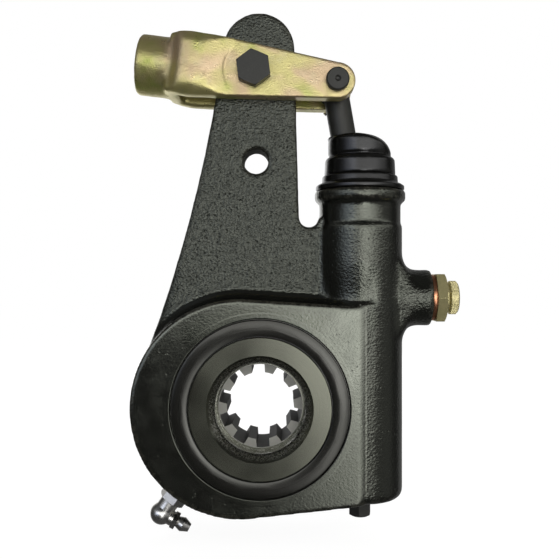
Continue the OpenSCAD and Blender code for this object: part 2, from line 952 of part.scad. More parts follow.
module boot() {
    roof = boot_wall + 1;
    color([0.04, 0.04, 0.04])
        difference() {
            union() {
                translate([bx, 0, 0])
                    rotate_extrude()
                        polygon([
                            [0, barrel_top + flange_h + 0.6],
                            [bore_r - 0.1, barrel_top + flange_h + 0.6],
                            [bore_r - 0.1, tier_low],
                            [tier_r - 0.4, tier_low],
                            [tier_r, tier_low + 0.6],
                            [tier_r - 0.3, tier_top - 1.6],
                            [tier_r - 1.2, tier_top - 0.4],
                            [dome_r - 0.8, tier_top - 0.1],
                            [dome_r - 0.9, tier_top + 0.8],
                            [0, tier_top + 0.8]
                        ]);
                boot_dome();
            }
            translate([bx, 0, 0])
                rotate_extrude()
                    polygon([
                        [0, barrel_top],
                        [bore_r - boot_wall, barrel_top],
                        [bore_r - boot_wall, tier_low - 0.5],
                        [tier_r - boot_wall, tier_low + boot_wall],
                        [tier_r - boot_wall - 0.3, tier_top - boot_wall - 0.6],
                        [dome_r - boot_wall, tier_top - 0.4],
                        [dome_r - boot_wall, dome_top - 0.9 * dome_fall],
                        [dome_r - 0.7 * dome_fall, dome_top - roof],
                        [0, dome_top - roof]
                    ]);
            on_rod()
                cylinder(r = rod_r + run_gap, h = 100);
        }
}

// Clevis and pins

// Puts a shape on the clevis, with the clevis pin as origin and the link pin along X
module on_clevis() {
    translate(pin_pos)
        rotate([0, clevis_tilt, 0])
            children();
}

// Side outline of the fork, from its closed end to the link pin
module fork_outline() {
    lean = acos((ear_r - ear_tip_r) / link_reach);
    near = (ear_r - bite) * [cos(lean), sin(lean)];
    far = [link_reach, 0] + (ear_tip_r - bite) * [cos(lean), sin(lean)];
    knee = 8 - slot_end;
    back = touch([0, 0], ear_r - bite, [knee, fork_h], -1);
    circle(r = ear_r);
    translate([link_reach, 0])
        circle(r = ear_tip_r);
    polygon([
        far,
        near,
        back,
        [knee, fork_h],
        [knee - 4, fork_h + 0.3],
        [knee - 8, fork_h - 0.2],
        [-fork_start, boss_r - 0.4],
        [-fork_start, 0.4 - boss_r],
        [knee - 8, 0.2 - fork_h],
        [knee - 4, -fork_h - 0.3],
        [knee, -fork_h],
        [back[0], -back[1]],
        [near[0], -near[1]],
        [far[0], -far[1]]
    ]);
}

// A step from nought to one without corners
function smooth(t) =
    let (u = max(0, min(1, t)))
    u * u * (3 - 2 * u);

// Half width of the fork, at a distance from the clevis pin towards the boss
function cheek(d) =
    let (
        bulge = ear_out + cheek_out * smooth((d - cheek_from) / (slot_end - 7 - cheek_from)),
        neck = boss_r - 1
    )
    neck + (bulge - neck) * smooth((fork_start - 0.5 - d) / 7);

// Outline of the fork from above, wide at its closed end and flat along the ears
module fork_plan() {
    steps = 30;
    tip = link_reach + ear_tip_r + 5;
    near = [for (k = [0:steps]) cheek_from + (fork_start - cheek_from) * k / steps];
    polygon(concat(
        [[tip, ear_out]],
        [for (d = near) [-d, cheek(d)]],
        [for (k = [steps:-1:0]) [-near[k], -cheek(near[k])]],
        [[tip, -ear_out]]
    ));
}

module clevis() {
    spot_r = ear_r + 2;
    round_r = boss_r + 7;
    color([0.72, 0.6, 0.25])
        on_clevis()
            difference() {
                union() {
                    intersection() {
                        upright(4 * ear_out)
                            fork_outline();
                        translate([0, 0, -40])
                            linear_extrude(80)
                                fork_plan();
                        union() {
                            bar_x(round_r, -fork_start - 1, -cheek_from);
                            translate([-cheek_from - 1, -40, -40])
                                cube([200, 80, 80]);
                        }
                    }
                    translate([-boss_end, 0, 0])
                        turned_x()
                            polygon([
                                [0, 0],
                                [boss_r - 1, 0],
                                [boss_r, 1],
                                [boss_r, boss_end - slot_end + 2],
                                [0, boss_end - slot_end + 2]
                            ]);
                }
                translate([-slot_end, -ear_in, -40])
                    cube([200, 2 * ear_in, 80]);
                for (s = [0, 1])
                    mirror([0, s, 0])
                        bar_y(spot_r, ear_out, 40);
                bar_y(pin_r + run_gap, -50, 50);
                translate([link_reach, 0, 0])
                    bar_y(link_pin_r + run_gap, -50, 50);
                bar_x(thread_r, -boss_end - 1, 0);
                translate([-boss_end, 0, 0])
                    turned_x()
                        polygon([[0, -1], [thread_r + 2.2, -1], [thread_r - 0.5, 1.8], [0, 1.8]]);
            }
}

module clevis_pin() {
    tail = ear_out + 8;
    color([0.16, 0.16, 0.16])
        on_clevis()
            difference() {
                union() {
                    bar_y(pin_r, -ear_out, tail - 1);
                    translate([0, tail - 1, 0])
                        rotate([-90, 0, 0])
                            cylinder(r1 = pin_r, r2 = pin_r - 1, h = 1);
                    translate([0, -ear_out, 0])
                        rotate([90, 0, 0])
                            rotate(97 + clevis_tilt)
                                hexagon(pin_head_af, pin_head_h, 0.5);
                }
                translate([0, ear_out + 4, -20])
                    cylinder(r = cotter_r + 0.3, h = 40);
            }
}

// A split pin through a hole along Z, its eye on top and its two legs bent apart below
module cotter(hole) {
    rotate([90, 0, 0])
        translate([0, hole + 2.6, 0])
            rotate(-70)
                rotate_extrude(angle = 320)
                    translate([2.2, 0])
                        circle(r = cotter_r * 0.75);
    translate([0, 0, -hole - 1])
        cylinder(r = cotter_r, h = 2 * hole + 1.7);
    for (s = [-1, 1])
        translate([0, 0, -hole - 1])
            rotate([0, s * 38, 0])
                translate([0, 0, -4.5])
                    cylinder(r = cotter_r * 0.75, h = 5);
}

module clevis_cotter() {
    color([0.6, 0.6, 0.6])
        on_clevis()
            translate([0, ear_out + 4, 0])
                cotter(pin_r);
}

module link_pin() {
    tail = ear_out + 6.4;
    color([0.16, 0.16, 0.16])
        on_clevis()
            translate([link_reach, 0, 0])
                difference() {
                    union() {
                        bar_y(link_pin_r, -ear_out, tail - 0.8);
                        translate([0, tail - 0.8, 0])
                            rotate([-90, 0, 0])
                                cylinder(r1 = link_pin_r, r2 = link_pin_r - 0.8, h = 0.8);
                        bar_y(link_head_r, -ear_out - link_head_h + 0.6, -ear_out);
                        translate([0, -ear_out - link_head_h + 0.6, 0])
                            rotate([90, 0, 0])
                                cylinder(r1 = link_head_r, r2 = link_head_r - 0.6, h = 0.6);
                    }
                    translate([0, -ear_out - link_head_h - 1, 0])
                        sphere(r = 1.7);
                    translate([0, ear_out + 3.4, -20])
                        cylinder(r = cotter_r + 0.3, h = 40);
                }
}

module link_cotter() {
    color([0.6, 0.6, 0.6])
        on_clevis()
            translate([link_reach, ear_out + 3.4, 0])
                cotter(link_pin_r);
}

// Pawl

module pawl() {
    color([0.45, 0.45, 0.46])
        translate([0, 0, pawl_z])
            difference() {
                union() {
                    bar_x(guide_r - 0.1, pawl_tip, pawl_back);
                    bar_x(stem_r, pawl_back - 1, cap_end + 2.4);
                }
                for (k = [-1:1])
                    translate([pawl_tip, k * 3, 0])
                        rotate([45, 0, 0])
                            rotate([0, 0, 45])
                                cube([1.4, 1.4, 40], center = true);
            }
}

module pawl_button() {
    low = cap_end + 0.4;
    rim = cap_end + 2;
    neck_r = button_r - 0.9;
    color([0.6, 0.5, 0.24])
        translate([0, 0, pawl_z])
            difference() {
                translate([low, 0, 0])
                    turned_x()
                        polygon([
                            [0, 0],
                            [neck_r, 0],
                            [neck_r, rim - low],
                            [button_r - 0.4, rim - low],
                            [button_r, rim - low + 0.4],
                            [button_r, rim - low + button_t - 0.7],
                            [button_r - 0.7, rim - low + button_t],
                            [0, rim - low + button_t]
                        ]);
                bar_x(stem_r + seat_gap, low - 1, cap_end + 2.4);
                for (s = [-1, 1])
                    translate([low - 1, s * (neck_r + 2) - 4, -2.6])
                        cube([rim - low + 1, 8, 5.2]);
            }
}

// Round wire wound about X between two places
module pawl_spring() {
    x0 = pawl_back + 0.75;
    x1 = cap_x + 0.6;
    turns = 4.5;
    seg = 60;
    side = 8;
    wire = 0.65;
    mean = (guide_r + stem_r) / 2 + 0.3;
    points = [
        for (i = [0:seg])
            for (k = [0:side - 1])
                let (
                    a = 360 * turns * i / seg,
                    b = 360 * k / side,
                    r = mean + wire * cos(b)
                )
                [x0 + (x1 - x0) * i / seg + wire * sin(b), r * cos(a), r * sin(a)]
    ];
    walls = [
        for (i = [0:seg - 1])
            for (k = [0:side - 1])
                let (n = (k + 1) % side, p = i * side, q = p + side)
                each [[p + k, q + k, q + n], [p + k, q + n, p + n]]
    ];
    first = [for (k = [0:side - 1]) k];
    last = [for (k = [side - 1:-1:0]) seg * side + k];
    color([0.5, 0.5, 0.5])
        translate([0, 0, pawl_z])
            polyhedron(points, concat(walls, [first, last]));
}

module pawl_cap() {
    color([0.66, 0.53, 0.24])
        translate([0, 0, pawl_z])
            difference() {
                union() {
                    bar_x(cap_shank_r, shank_in, cap_x + 1);
                    translate([cap_x, 0, 0])
                        rotate([0, 90, 0])
                            rotate(90)
                                hexagon(cap_af, cap_h, 0.9);
                }
                bar_x(cap_bore_r, shank_in - 1, cap_wall_x);
                bar_x(stem_r + turn_gap, 0, 200);
            }
}

module pawl_gasket() {
    color([0.7, 0.35, 0.18])
        translate([boss_x, 0, pawl_z])
            rotate([0, 90, 0])
                ring(cap_shank_r + 0.1, cap_af / 2 - 0.3, 0, gasket_t);
}

// Grease fitting

// Puts a shape on the round side of the case, pointing outward along Z
module fitting_place() {
    translate([case_side, 0, 0])
        rotate([0, 90 - fitting_angle, 0])
            translate([0, 0, case_r - 0.6])
                children();
}

// Puts a shape in the elbow, with the nipple pointing along Z
module nipple_place() {
    reach = case_r - 0.6 + elbow_out;
    translate([case_side + reach * cos(fitting_angle), 0, reach * sin(fitting_angle)])
        rotate([0, 90 + nipple_drop, 0])
            children();
}

module grease_fitting() {
    color([0.62, 0.62, 0.6])
        difference() {
            union() {
                fitting_place() {
                    translate([0, 0, -8])
                        cylinder(r = 4.5, h = 9);
                    translate([0, 0, -0.9])
                        rotate(12)
                            hexagon(fitting_af, elbow_out - 6.2, 0.8);
                    cylinder(r = 4.5, h = elbow_out);
                }
                nipple_place() {
                    sphere(r = 5.4);
                    cylinder(r = 3.5, h = 8);
                    translate([0, 0, 6])
                        rotate(15)
                            cylinder(r = 4.6, h = 2.2, $fn = 6);
                    translate([0, 0, 8])
                        cylinder(r1 = 2.4, r2 = 3.5, h = 3.2);
                    translate([0, 0, 11.2])
                        cylinder(r1 = 3.5, r2 = 2, h = 3.6);
                }
            }
            nipple_place()
                cylinder(r = 1.1, h = 40);
            fitting_place()
                translate([0, 0, -20])
                    cylinder(r = 1.6, h = 20 + elbow_out);
        }
}

module grease_ball() {
    color([0.7, 0.7, 0.7])
        nipple_place()
            translate([0, 0, 13.2])
                sphere(r = 1.05);
}

// Drawing

housing();
arm_bush();
front_cover();
front_seal();
front_washer();
rear_seal();
rear_washer();
worm_gear();
worm();
worm_washer();
worm_bush();
worm_ring();
worm_seal();
sleeve();
piston();
piston_pin();
piston_ring();
actuator_rod();
boot_cover();
boot();
clevis();
clevis_pin();
clevis_cotter();
link_pin();
link_cotter();
pawl();
pawl_button();
pawl_spring();
pawl_cap();
pawl_gasket();
grease_fitting();
grease_ball();
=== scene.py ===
# %% [markdown]
# # Dressing a brake slack adjuster
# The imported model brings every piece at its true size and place. This lesson gives it the
# looks: rough black paint on the casting, yellow zinc on the forged clevis, brass, copper,
# steel and rubber. Nothing here moves or resizes a piece.

import json
import math
from types import SimpleNamespace

import bmesh
import bpy
import numpy as np
from mathutils import Matrix, Vector, noise
from mathutils.bvhtree import BVHTree

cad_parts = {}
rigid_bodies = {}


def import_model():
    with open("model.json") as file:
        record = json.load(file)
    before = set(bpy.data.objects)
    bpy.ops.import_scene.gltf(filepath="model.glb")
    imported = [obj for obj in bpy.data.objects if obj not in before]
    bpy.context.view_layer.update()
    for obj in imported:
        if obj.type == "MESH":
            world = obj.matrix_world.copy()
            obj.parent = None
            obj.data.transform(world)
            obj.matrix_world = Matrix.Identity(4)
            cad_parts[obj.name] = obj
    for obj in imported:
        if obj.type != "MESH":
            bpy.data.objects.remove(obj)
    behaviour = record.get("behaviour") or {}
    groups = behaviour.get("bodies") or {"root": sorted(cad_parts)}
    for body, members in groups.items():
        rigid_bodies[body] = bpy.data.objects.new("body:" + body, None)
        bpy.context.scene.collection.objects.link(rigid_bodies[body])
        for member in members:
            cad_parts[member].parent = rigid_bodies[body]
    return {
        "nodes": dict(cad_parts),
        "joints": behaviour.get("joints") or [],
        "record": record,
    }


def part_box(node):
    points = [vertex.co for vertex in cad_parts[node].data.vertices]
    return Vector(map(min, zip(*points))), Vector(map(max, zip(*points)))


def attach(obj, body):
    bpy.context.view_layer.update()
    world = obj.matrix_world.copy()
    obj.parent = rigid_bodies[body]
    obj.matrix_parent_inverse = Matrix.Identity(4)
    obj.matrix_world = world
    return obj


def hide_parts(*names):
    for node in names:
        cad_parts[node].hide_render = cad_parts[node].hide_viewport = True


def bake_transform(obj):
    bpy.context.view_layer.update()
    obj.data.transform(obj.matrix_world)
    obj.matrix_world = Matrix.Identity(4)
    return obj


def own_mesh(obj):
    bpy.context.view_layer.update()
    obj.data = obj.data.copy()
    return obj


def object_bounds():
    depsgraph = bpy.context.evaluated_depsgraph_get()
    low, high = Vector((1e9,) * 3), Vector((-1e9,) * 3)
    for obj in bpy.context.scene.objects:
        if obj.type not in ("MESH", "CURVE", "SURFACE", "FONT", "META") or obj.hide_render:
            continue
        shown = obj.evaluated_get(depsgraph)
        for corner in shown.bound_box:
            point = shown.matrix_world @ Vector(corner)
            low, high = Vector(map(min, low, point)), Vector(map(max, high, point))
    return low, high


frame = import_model()
cad_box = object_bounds()
nodes = frame["nodes"]
joints = {joint["name"]: joint for joint in frame["joints"]}
mounts = {mount["name"]: mount for mount in frame["record"]["mounts"]}
bodies = frame["record"]["behaviour"]["bodies"]
body_of = {node: body for body, members in bodies.items() for node in members}
scene = bpy.context.scene
MM = 0.001
print("pieces in the frame:", len(nodes))

# %% [markdown]
# ## Places taken from the frame
# The joints already know where the pins and the worm stand, and a node's box gives the rest.
# Reading them here keeps the looks in step with the model when a size changes.

# %% Read the places
CASE_WALL = 5 * MM


def half_width(node):
    low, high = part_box(node)
    return (high.x - low.x) / 2


clevis_pin_at = Vector(joints["clevis_swing"]["pos_m"])
link_pin_at = Vector(joints["rod_pivot"]["pos_m"])
barrel_x = joints["worm_turn"]["pos_m"][0]
thread_at = Vector(mounts["pushrod_thread"]["pos_m"])
thread_axis = Vector(mounts["pushrod_thread"]["axis"]).normalized()
thread_minor_r = mounts["pushrod_thread"]["dims"]["r_mm"] * MM
spare_hole_at = Vector(mounts["arm_spare_hole"]["pos_m"])
spare_hole_r = mounts["arm_spare_hole"]["dims"]["r_mm"] * MM
cover_low, cover_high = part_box("front_cover")
cover_r = half_width("front_cover")
rear_bore_r = half_width("rear_seal")
case_front = cover_low.y
case_half = -case_front
case_top = cover_high.z + CASE_WALL
arm_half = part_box("arm_bush")[1].y
cap_low, cap_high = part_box("pawl_cap")
pawl_z = (cap_low.z + cap_high.z) / 2
boot_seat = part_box("boot_cover")[0].z
print("clevis pin at", clevis_pin_at, "barrel axis at", round(barrel_x, 4))

# %% [markdown]
# ## Camera
# The picture is taken level and from the front, close enough that the near faces look a
# little larger. A lens of about 49 mm at 36 cm gives that perspective. Depth of field stays
# off, because the other views use the same camera.

# %% Place the camera
CAMERA_AT = (0.0087, -0.3605, 0.0579)
LENS_MM = 49.3
SENSOR_MM = 36.0


def place_camera():
    data = bpy.data.cameras.new("camera")
    data.lens = LENS_MM
    data.sensor_width = SENSOR_MM
    data.clip_start = 0.01
    camera = bpy.data.objects.new("camera", data)
    camera.location = CAMERA_AT
    camera.rotation_euler = (math.radians(90), 0, 0)
    scene.collection.objects.link(camera)
    scene.camera = camera


place_camera()
print("camera at", CAMERA_AT)

# %% [markdown]
# ## Node helpers
# Shader and geometry trees are built in code. One helper adds a node with its settings and
# links. The others use it to mix, to calculate, and to stretch one range of values to another.


# %% Write the node helpers
def add(tree, kind, inputs=None, **settings):
    node = tree.nodes.new(kind)
    for key, value in settings.items():
        setattr(node, key, value)
    for key, value in (inputs or {}).items():
        if isinstance(value, bpy.types.NodeSocket):
            tree.links.new(value, node.inputs[key])
        else:
            node.inputs[key].default_value = value
    return node


def mixed(tree, factor, first, second):
    # A Mix node keeps its colours in sockets 6 and 7, and puts out the mix at 2.
    inputs = {0: factor, 6: first, 7: second}
    return add(tree, "ShaderNodeMix", inputs, data_type="RGBA").outputs[2]


def mixed_value(tree, factor, first, second):
    inputs = {"Factor": factor, "A": first, "B": second}
    return add(tree, "ShaderNodeMix", inputs, data_type="FLOAT").outputs["Result"]


def math_node(tree, operation, first, second=0.0):
    return add(tree, "ShaderNodeMath", {0: first, 1: second}, operation=operation).outputs[0]


def vector_node(tree, operation, inputs):
    return add(tree, "ShaderNodeVectorMath", inputs, operation=operation).outputs


def product(tree, *values):
    result = values[0]
    for value in values[1:]:
        result = math_node(tree, "MULTIPLY", result, value)
    return result


def span(tree, value, low, high, to_low=0.0, to_high=1.0, smooth=False):
    inputs = {"Value": value, "From Min": low, "From Max": high, "To Min": to_low, "To Max": to_high}
    kind = "SMOOTHSTEP" if smooth else "LINEAR"
    return add(tree, "ShaderNodeMapRange", inputs, interpolation_type=kind).outputs["Result"]


def rising(tree, value, edges, start=0.0, full=1.0):
    return span(tree, value, *edges, start, full, smooth=True)


def falling(tree, value, edges, rest=0.0):
    return span(tree, value, *edges, 1.0, rest, smooth=True)


def rgb(red, green, blue):
    return (red, green, blue, 1.0)


def grey(level):
    return rgb(level, level, level)


print("node helpers ready")

# %% [markdown]
# ## Studio
# The part stands on a plain pale floor in a white room. The room is white for the camera and
# dimmer as a light source, so the black paint isn't washed out. Mirror reflections see a
# graded room instead of the lamps and the floor: a bright panel in front and to the right, a
# dark gap to its left, a cool window at the far left, a dimmer panel behind, and the white
# backdrop straight behind the part. One lamp can't give the slow shading over the flat faces
# that such a panel gives.

# %% Hang the bright panel
# A pair says where an edge starts and ends, along one axis of the direction that is seen.
PANEL_LIGHT = 3.8
PANEL_LEFT = (-0.09, 0.09)
PANEL_RIGHT = (0.3, 0.75)
PANEL_RIGHT_REST = 0.05
PANEL_DIMMING = (-0.05, 0.36)
PANEL_DIMMED = 0.22
PANEL_TOP = (0.33, 0.48)
PANEL_FOOT = (-0.58, -0.3)
PANEL_FOOT_REST = 0.03
PANEL_LEAN = 0.3
PANEL_LEAN_ABOVE = 2.0
PANEL_BEND = 0.05
RIGHT_LEAN = -1.75
RIGHT_LEAN_FROM = -0.16
HOT_SPOT_LIGHT = 3.6
HOT_SPOT_WAY = (0.12, -0.99, -0.09)
HOT_SPOT_REACH = 0.12


def front_panel(tree, way, x, z, in_front):
    raised = math_node(tree, "MAXIMUM", math_node(tree, "ADD", z, PANEL_BEND), 0.0)
    lean_in = math_node(tree, "ADD", x, product(tree, z, PANEL_LEAN))
    lean_in = math_node(tree, "ADD", lean_in, product(tree, raised, PANEL_LEAN_ABOVE))
    lowest = math_node(tree, "MAXIMUM", z, RIGHT_LEAN_FROM)
    lean_out = math_node(tree, "ADD", x, product(tree, lowest, RIGHT_LEAN))
    off_spot = vector_node(tree, "DISTANCE", {0: way, 1: HOT_SPOT_WAY})["Value"]
    hot_spot = span(tree, off_spot, 0.0, HOT_SPOT_REACH, HOT_SPOT_LIGHT, 0.0, smooth=True)
    return product(
        tree, math_node(tree, "ADD", hot_spot, PANEL_LIGHT),
        rising(tree, lean_in, PANEL_LEFT),
        falling(tree, lean_out, PANEL_RIGHT, rest=PANEL_RIGHT_REST),
        span(tree, z, *PANEL_DIMMING, 1.0, PANEL_DIMMED),
        falling(tree, z, PANEL_TOP),
        rising(tree, z, PANEL_FOOT, start=PANEL_FOOT_REST),
        in_front,
    )


print("panel light:", PANEL_LIGHT)

# %% [markdown]
# ### The rest of that room
# Cool daylight comes from the window. The rear panel, a faint light from above, below and
# behind, and the white backdrop keep the sides that the panel doesn't reach from going black.

# %% Set out the room that reflections see
ROOM_DARK = 0.05
FRONT_HALF = (-0.2, 0.2)
WINDOW_LIGHT = 1.2
WINDOW_TINT = (0.84, 0.92, 1.14)
WINDOW_LEFT = (-0.98, -0.6)
WINDOW_RIGHT = (-0.4, -0.22)
WINDOW_TOP = (0.15, 0.45)
WINDOW_TOP_REST = 0.05
WINDOW_FOOT = (-0.15, 0.0)
REAR_PANEL_LIGHT = 1.6
REAR_PANEL_START = (0.3, 0.6)
REAR_PANEL_LEFT = (-0.7, -0.5)
REAR_PANEL_RIGHT = (-0.2, -0.06)
REAR_PANEL_ENDS = (0.2, 0.5)
REAR_PANEL_REST = 0.1
ABOVE_LIGHT = 0.07
ABOVE_FROM = (0.4, 0.9)
BEHIND_LIGHT = 0.22
BEHIND_FROM = (0.3, 0.7)
BACKDROP_LIGHT = 1.0
BACKDROP_RIM = (0.945, 0.975)


def room_seen_by_mirrors(tree):
    way = add(tree, "ShaderNodeTexCoord").outputs["Generated"]
    x, y, z = add(tree, "ShaderNodeSeparateXYZ", {0: way}).outputs
    off_level = math_node(tree, "ABSOLUTE", z)
    in_front = falling(tree, y, FRONT_HALF)
    panel = front_panel(tree, way, x, z, in_front)
    window = product(
        tree, WINDOW_LIGHT,
        rising(tree, x, WINDOW_LEFT),
        falling(tree, x, WINDOW_RIGHT),
        falling(tree, z, WINDOW_TOP, rest=WINDOW_TOP_REST),
        rising(tree, z, WINDOW_FOOT),
        in_front,
    )
    rear_panel = product(
        tree, REAR_PANEL_LIGHT,
        rising(tree, y, REAR_PANEL_START),
        rising(tree, x, REAR_PANEL_LEFT),
        falling(tree, x, REAR_PANEL_RIGHT),
        falling(tree, off_level, REAR_PANEL_ENDS, rest=REAR_PANEL_REST),
    )
    above = rising(tree, off_level, ABOVE_FROM, full=ABOVE_LIGHT)
    behind = rising(tree, y, BEHIND_FROM, full=BEHIND_LIGHT)
    level = math_node(tree, "ADD", math_node(tree, "ADD", panel, rear_panel), ROOM_DARK)
    level = math_node(tree, "MAXIMUM", level, math_node(tree, "MAXIMUM", above, behind))
    level = mixed_value(tree, rising(tree, y, BACKDROP_RIM), level, BACKDROP_LIGHT)
    plain = add(tree, "ShaderNodeCombineXYZ", {0: level, 1: level, 2: level}).outputs[0]
    cool = vector_node(tree, "SCALE", {0: WINDOW_TINT, "Scale": window})[0]
    return vector_node(tree, "ADD", {0: plain, 1: cool})[0]


print("window light:", WINDOW_LIGHT, "rear panel light:", REAR_PANEL_LIGHT)

# %% [markdown]
# ### Walls, floor and lamps
# The world and the floor ask which kind of ray is looking at them. The floor keeps the shadow
# of the part, and most of what the camera sees of it is white.

# %% Build the room, floor and lamps
ROOM_LIGHT = 0.44
FLOOR_SIZE = 6.0
FLOOR_DROP = 0.0005
FLOOR_WHITE = 0.82
FLOOR_GLOW = 0.8
FLOOR_LIFT = 1.16


def rays(tree):
    path = add(tree, "ShaderNodeLightPath").outputs
    mirror = math_node(tree, "MAXIMUM", path["Is Glossy Ray"], path["Is Transmission Ray"])
    return path["Is Camera Ray"], mirror


def build_room():
    world = bpy.data.worlds.new("white room")
    scene.world = world
    world.use_nodes = True
    tree = world.node_tree
    tree.nodes.clear()
    camera_ray, mirror_ray = rays(tree)
    colour = mixed(tree, mirror_ray, grey(ROOM_LIGHT), room_seen_by_mirrors(tree))
    colour = mixed(tree, camera_ray, colour, grey(1.0))
    background = add(tree, "ShaderNodeBackground", {"Color": colour, "Strength": 1.0})
    output = add(tree, "ShaderNodeOutputWorld")
    tree.links.new(background.outputs[0], output.inputs["Surface"])


def build_floor():
    mesh = bpy.data.meshes.new("floor")
    half = FLOOR_SIZE / 2
    height = cad_box[0][2] - FLOOR_DROP
    corners = [(x, y, height) for x, y in ((-half, -half), (half, -half), (half, half), (-half, half))]
    mesh.from_pydata(corners, [], [(0, 1, 2, 3)])
    floor = bpy.data.objects.new("floor", mesh)
    scene.collection.objects.link(floor)
    material = bpy.data.materials.new("pale floor")
    material.use_nodes = True
    tree = material.node_tree
    tree.nodes.clear()
    camera_ray, mirror_ray = rays(tree)
    matt = add(tree, "ShaderNodeBsdfDiffuse", {"Color": grey(FLOOR_WHITE)}).outputs[0]
    white = add(tree, "ShaderNodeEmission", {"Color": grey(1.0), "Strength": FLOOR_LIFT}).outputs[0]
    clear = add(tree, "ShaderNodeBsdfTransparent").outputs[0]
    share = product(tree, camera_ray, FLOOR_GLOW)
    lit = add(tree, "ShaderNodeMixShader", {0: share, 1: matt, 2: white}).outputs[0]
    whole = add(tree, "ShaderNodeMixShader", {0: mirror_ray, 1: lit, 2: clear}).outputs[0]
    output = add(tree, "ShaderNodeOutputMaterial")
    tree.links.new(whole, output.inputs["Surface"])
    mesh.materials.append(material)


LAMPS = {
    "key": {"at": (0.4, -0.62, 0.4), "size": 0.5, "watts": 1.6, "tint": (1.0, 0.98, 0.9)},
    "right": {"at": (0.85, -0.1, 0.12), "size": 0.5, "watts": 0.9, "tint": (1.0, 0.98, 0.92)},
    "back": {"at": (0.1, 0.8, 0.35), "size": 0.6, "watts": 2.0, "tint": (1.0, 1.0, 1.0)},
}
LAMP_AIM = Vector((0.01, 0.0, 0.06))


def hang_lamp(name, at, size, watts, tint):
    data = bpy.data.lights.new(name, "AREA")
    data.shape = "DISK"
    data.size = size
    data.energy = watts
    data.color = tint
    lamp = bpy.data.objects.new(name, data)
    lamp.location = at
    lamp.visible_glossy = False
    lamp.rotation_euler = (LAMP_AIM - Vector(at)).to_track_quat("-Z", "Y").to_euler()
    scene.collection.objects.link(lamp)


build_room()
build_floor()
for lamp_name, lamp in LAMPS.items():
    hang_lamp(lamp_name, **lamp)
scene.view_settings.view_transform = "Standard"
print("lamps:", ", ".join(LAMPS))

# %% [markdown]
# ## Effects that several finishes share
# Each effect is a node group, built once and placed in a material with its own values. A
# group only puts out masks and heights. Cast grain is the orange-peel skin of sand casting
# under paint, turned marks are the fine rings that a lathe leaves, scuffs are sparse rubbed
# patches, and edge wear breaks up a painted edge.


# %% Build the shared effects
def new_group(name, inputs, outputs):
    tree = bpy.data.node_groups.new(name, "ShaderNodeTree")
    for label, value in inputs.items():
        kind = "NodeSocketFloat" if isinstance(value, float) else "NodeSocketVector"
        socket = tree.interface.new_socket(label, in_out="INPUT", socket_type=kind)
        if value is not None:
            socket.default_value = value
    for label in outputs:
        tree.interface.new_socket(label, in_out="OUTPUT", socket_type="NodeSocketFloat")
    return tree, tree.nodes.new("NodeGroupInput").outputs, tree.nodes.new("NodeGroupOutput").inputs


def noise_at(tree, place, scale, **values):
    inputs = {"Vector": place, "Scale": scale, **{key.title(): value for key, value in values.items()}}
    return add(tree, "ShaderNodeTexNoise", inputs).outputs["Fac"]


def cast_grain_group():
    inputs = {"Vector": None, "Size": 0.0012}
    tree, given, out = new_group("cast grain", inputs, ["Height", "Pits", "Tone"])
    place = given["Vector"]
    scale = math_node(tree, "DIVIDE", 1.0, given["Size"])
    drawn = add(tree, "ShaderNodeMapping", {"Vector": place, "Scale": (0.9, 1.0, 1.1)}).outputs[0]
    skin = noise_at(tree, drawn, scale, detail=3.0, roughness=0.55)
    cells = {"Vector": drawn, "Scale": scale, "Smoothness": 0.6}
    ripple = add(tree, "ShaderNodeTexVoronoi", cells, feature="SMOOTH_F1").outputs["Distance"]
    cloud = noise_at(tree, place, product(tree, scale, 0.14), detail=2.0)
    height = math_node(tree, "ADD", product(tree, skin, 0.7), product(tree, ripple, 0.45))
    sparse = {"Vector": place, "Scale": product(tree, scale, 0.33), "Randomness": 1.0}
    pores = add(tree, "ShaderNodeTexVoronoi", sparse).outputs["Distance"]
    tree.links.new(height, out["Height"])
    tree.links.new(falling(tree, pores, (0.06, 0.16)), out["Pits"])
    tree.links.new(cloud, out["Tone"])
    return tree


def turned_marks_group():
    inputs = {"Vector": None, "Centre": (0.0, 0.0, 0.0), "Across": (1.0, 0.0, 1.0), "Spacing": 0.0003}
    tree, given, out = new_group("turned marks", inputs, ["Height", "Radius"])
    away = vector_node(tree, "SUBTRACT", {0: given["Vector"], 1: given["Centre"]})[0]
    flat = vector_node(tree, "MULTIPLY", {0: away, 1: given["Across"]})[0]
    radius = vector_node(tree, "LENGTH", {0: flat})["Value"]
    turns = math_node(tree, "DIVIDE", radius, given["Spacing"])
    inputs = {"W": turns, "Scale": 1.0, "Detail": 2.0}
    rings = add(tree, "ShaderNodeTexNoise", inputs, noise_dimensions="1D").outputs["Fac"]
    tree.links.new(rings, out["Height"])
    tree.links.new(radius, out["Radius"])
    return tree


def scuffs_group():
    tree, given, out = new_group("scuffs", {"Vector": None, "Size": 0.004, "Spread": 0.6}, ["Mask"])
    scale = math_node(tree, "DIVIDE", 1.0, given["Size"])
    spots = noise_at(tree, given["Vector"], scale, detail=6.0, roughness=0.68)
    top = math_node(tree, "ADD", given["Spread"], 0.12)
    tree.links.new(span(tree, spots, given["Spread"], top), out["Mask"])
    return tree


def edge_wear_group():
    tree, given, out = new_group("edge wear", {"Vector": None, "Edge": 0.0, "Amount": 0.5}, ["Mask"])
    broken = noise_at(tree, given["Vector"], 420.0, detail=5.0, roughness=0.7)
    lifted = span(tree, broken, 0.32, 0.68)
    strength = product(tree, given["Edge"], lifted, given["Amount"])
    tree.links.new(rising(tree, strength, (0.12, 0.5)), out["Mask"])
    return tree


CAST_GRAIN = cast_grain_group()
TURNED_MARKS = turned_marks_group()
SCUFFS = scuffs_group()
EDGE_WEAR = edge_wear_group()
print("shared effects:", ", ".join(tree.name for tree in bpy.data.node_groups))

# %% [markdown]
# ## Finishes
# A finish is one material. Its constants are set on the Principled shader itself, and only
# what changes over the surface comes in by a link. All patterns read Object coordinates, in
# metres, so a grain of 1 mm is written as 0.001.

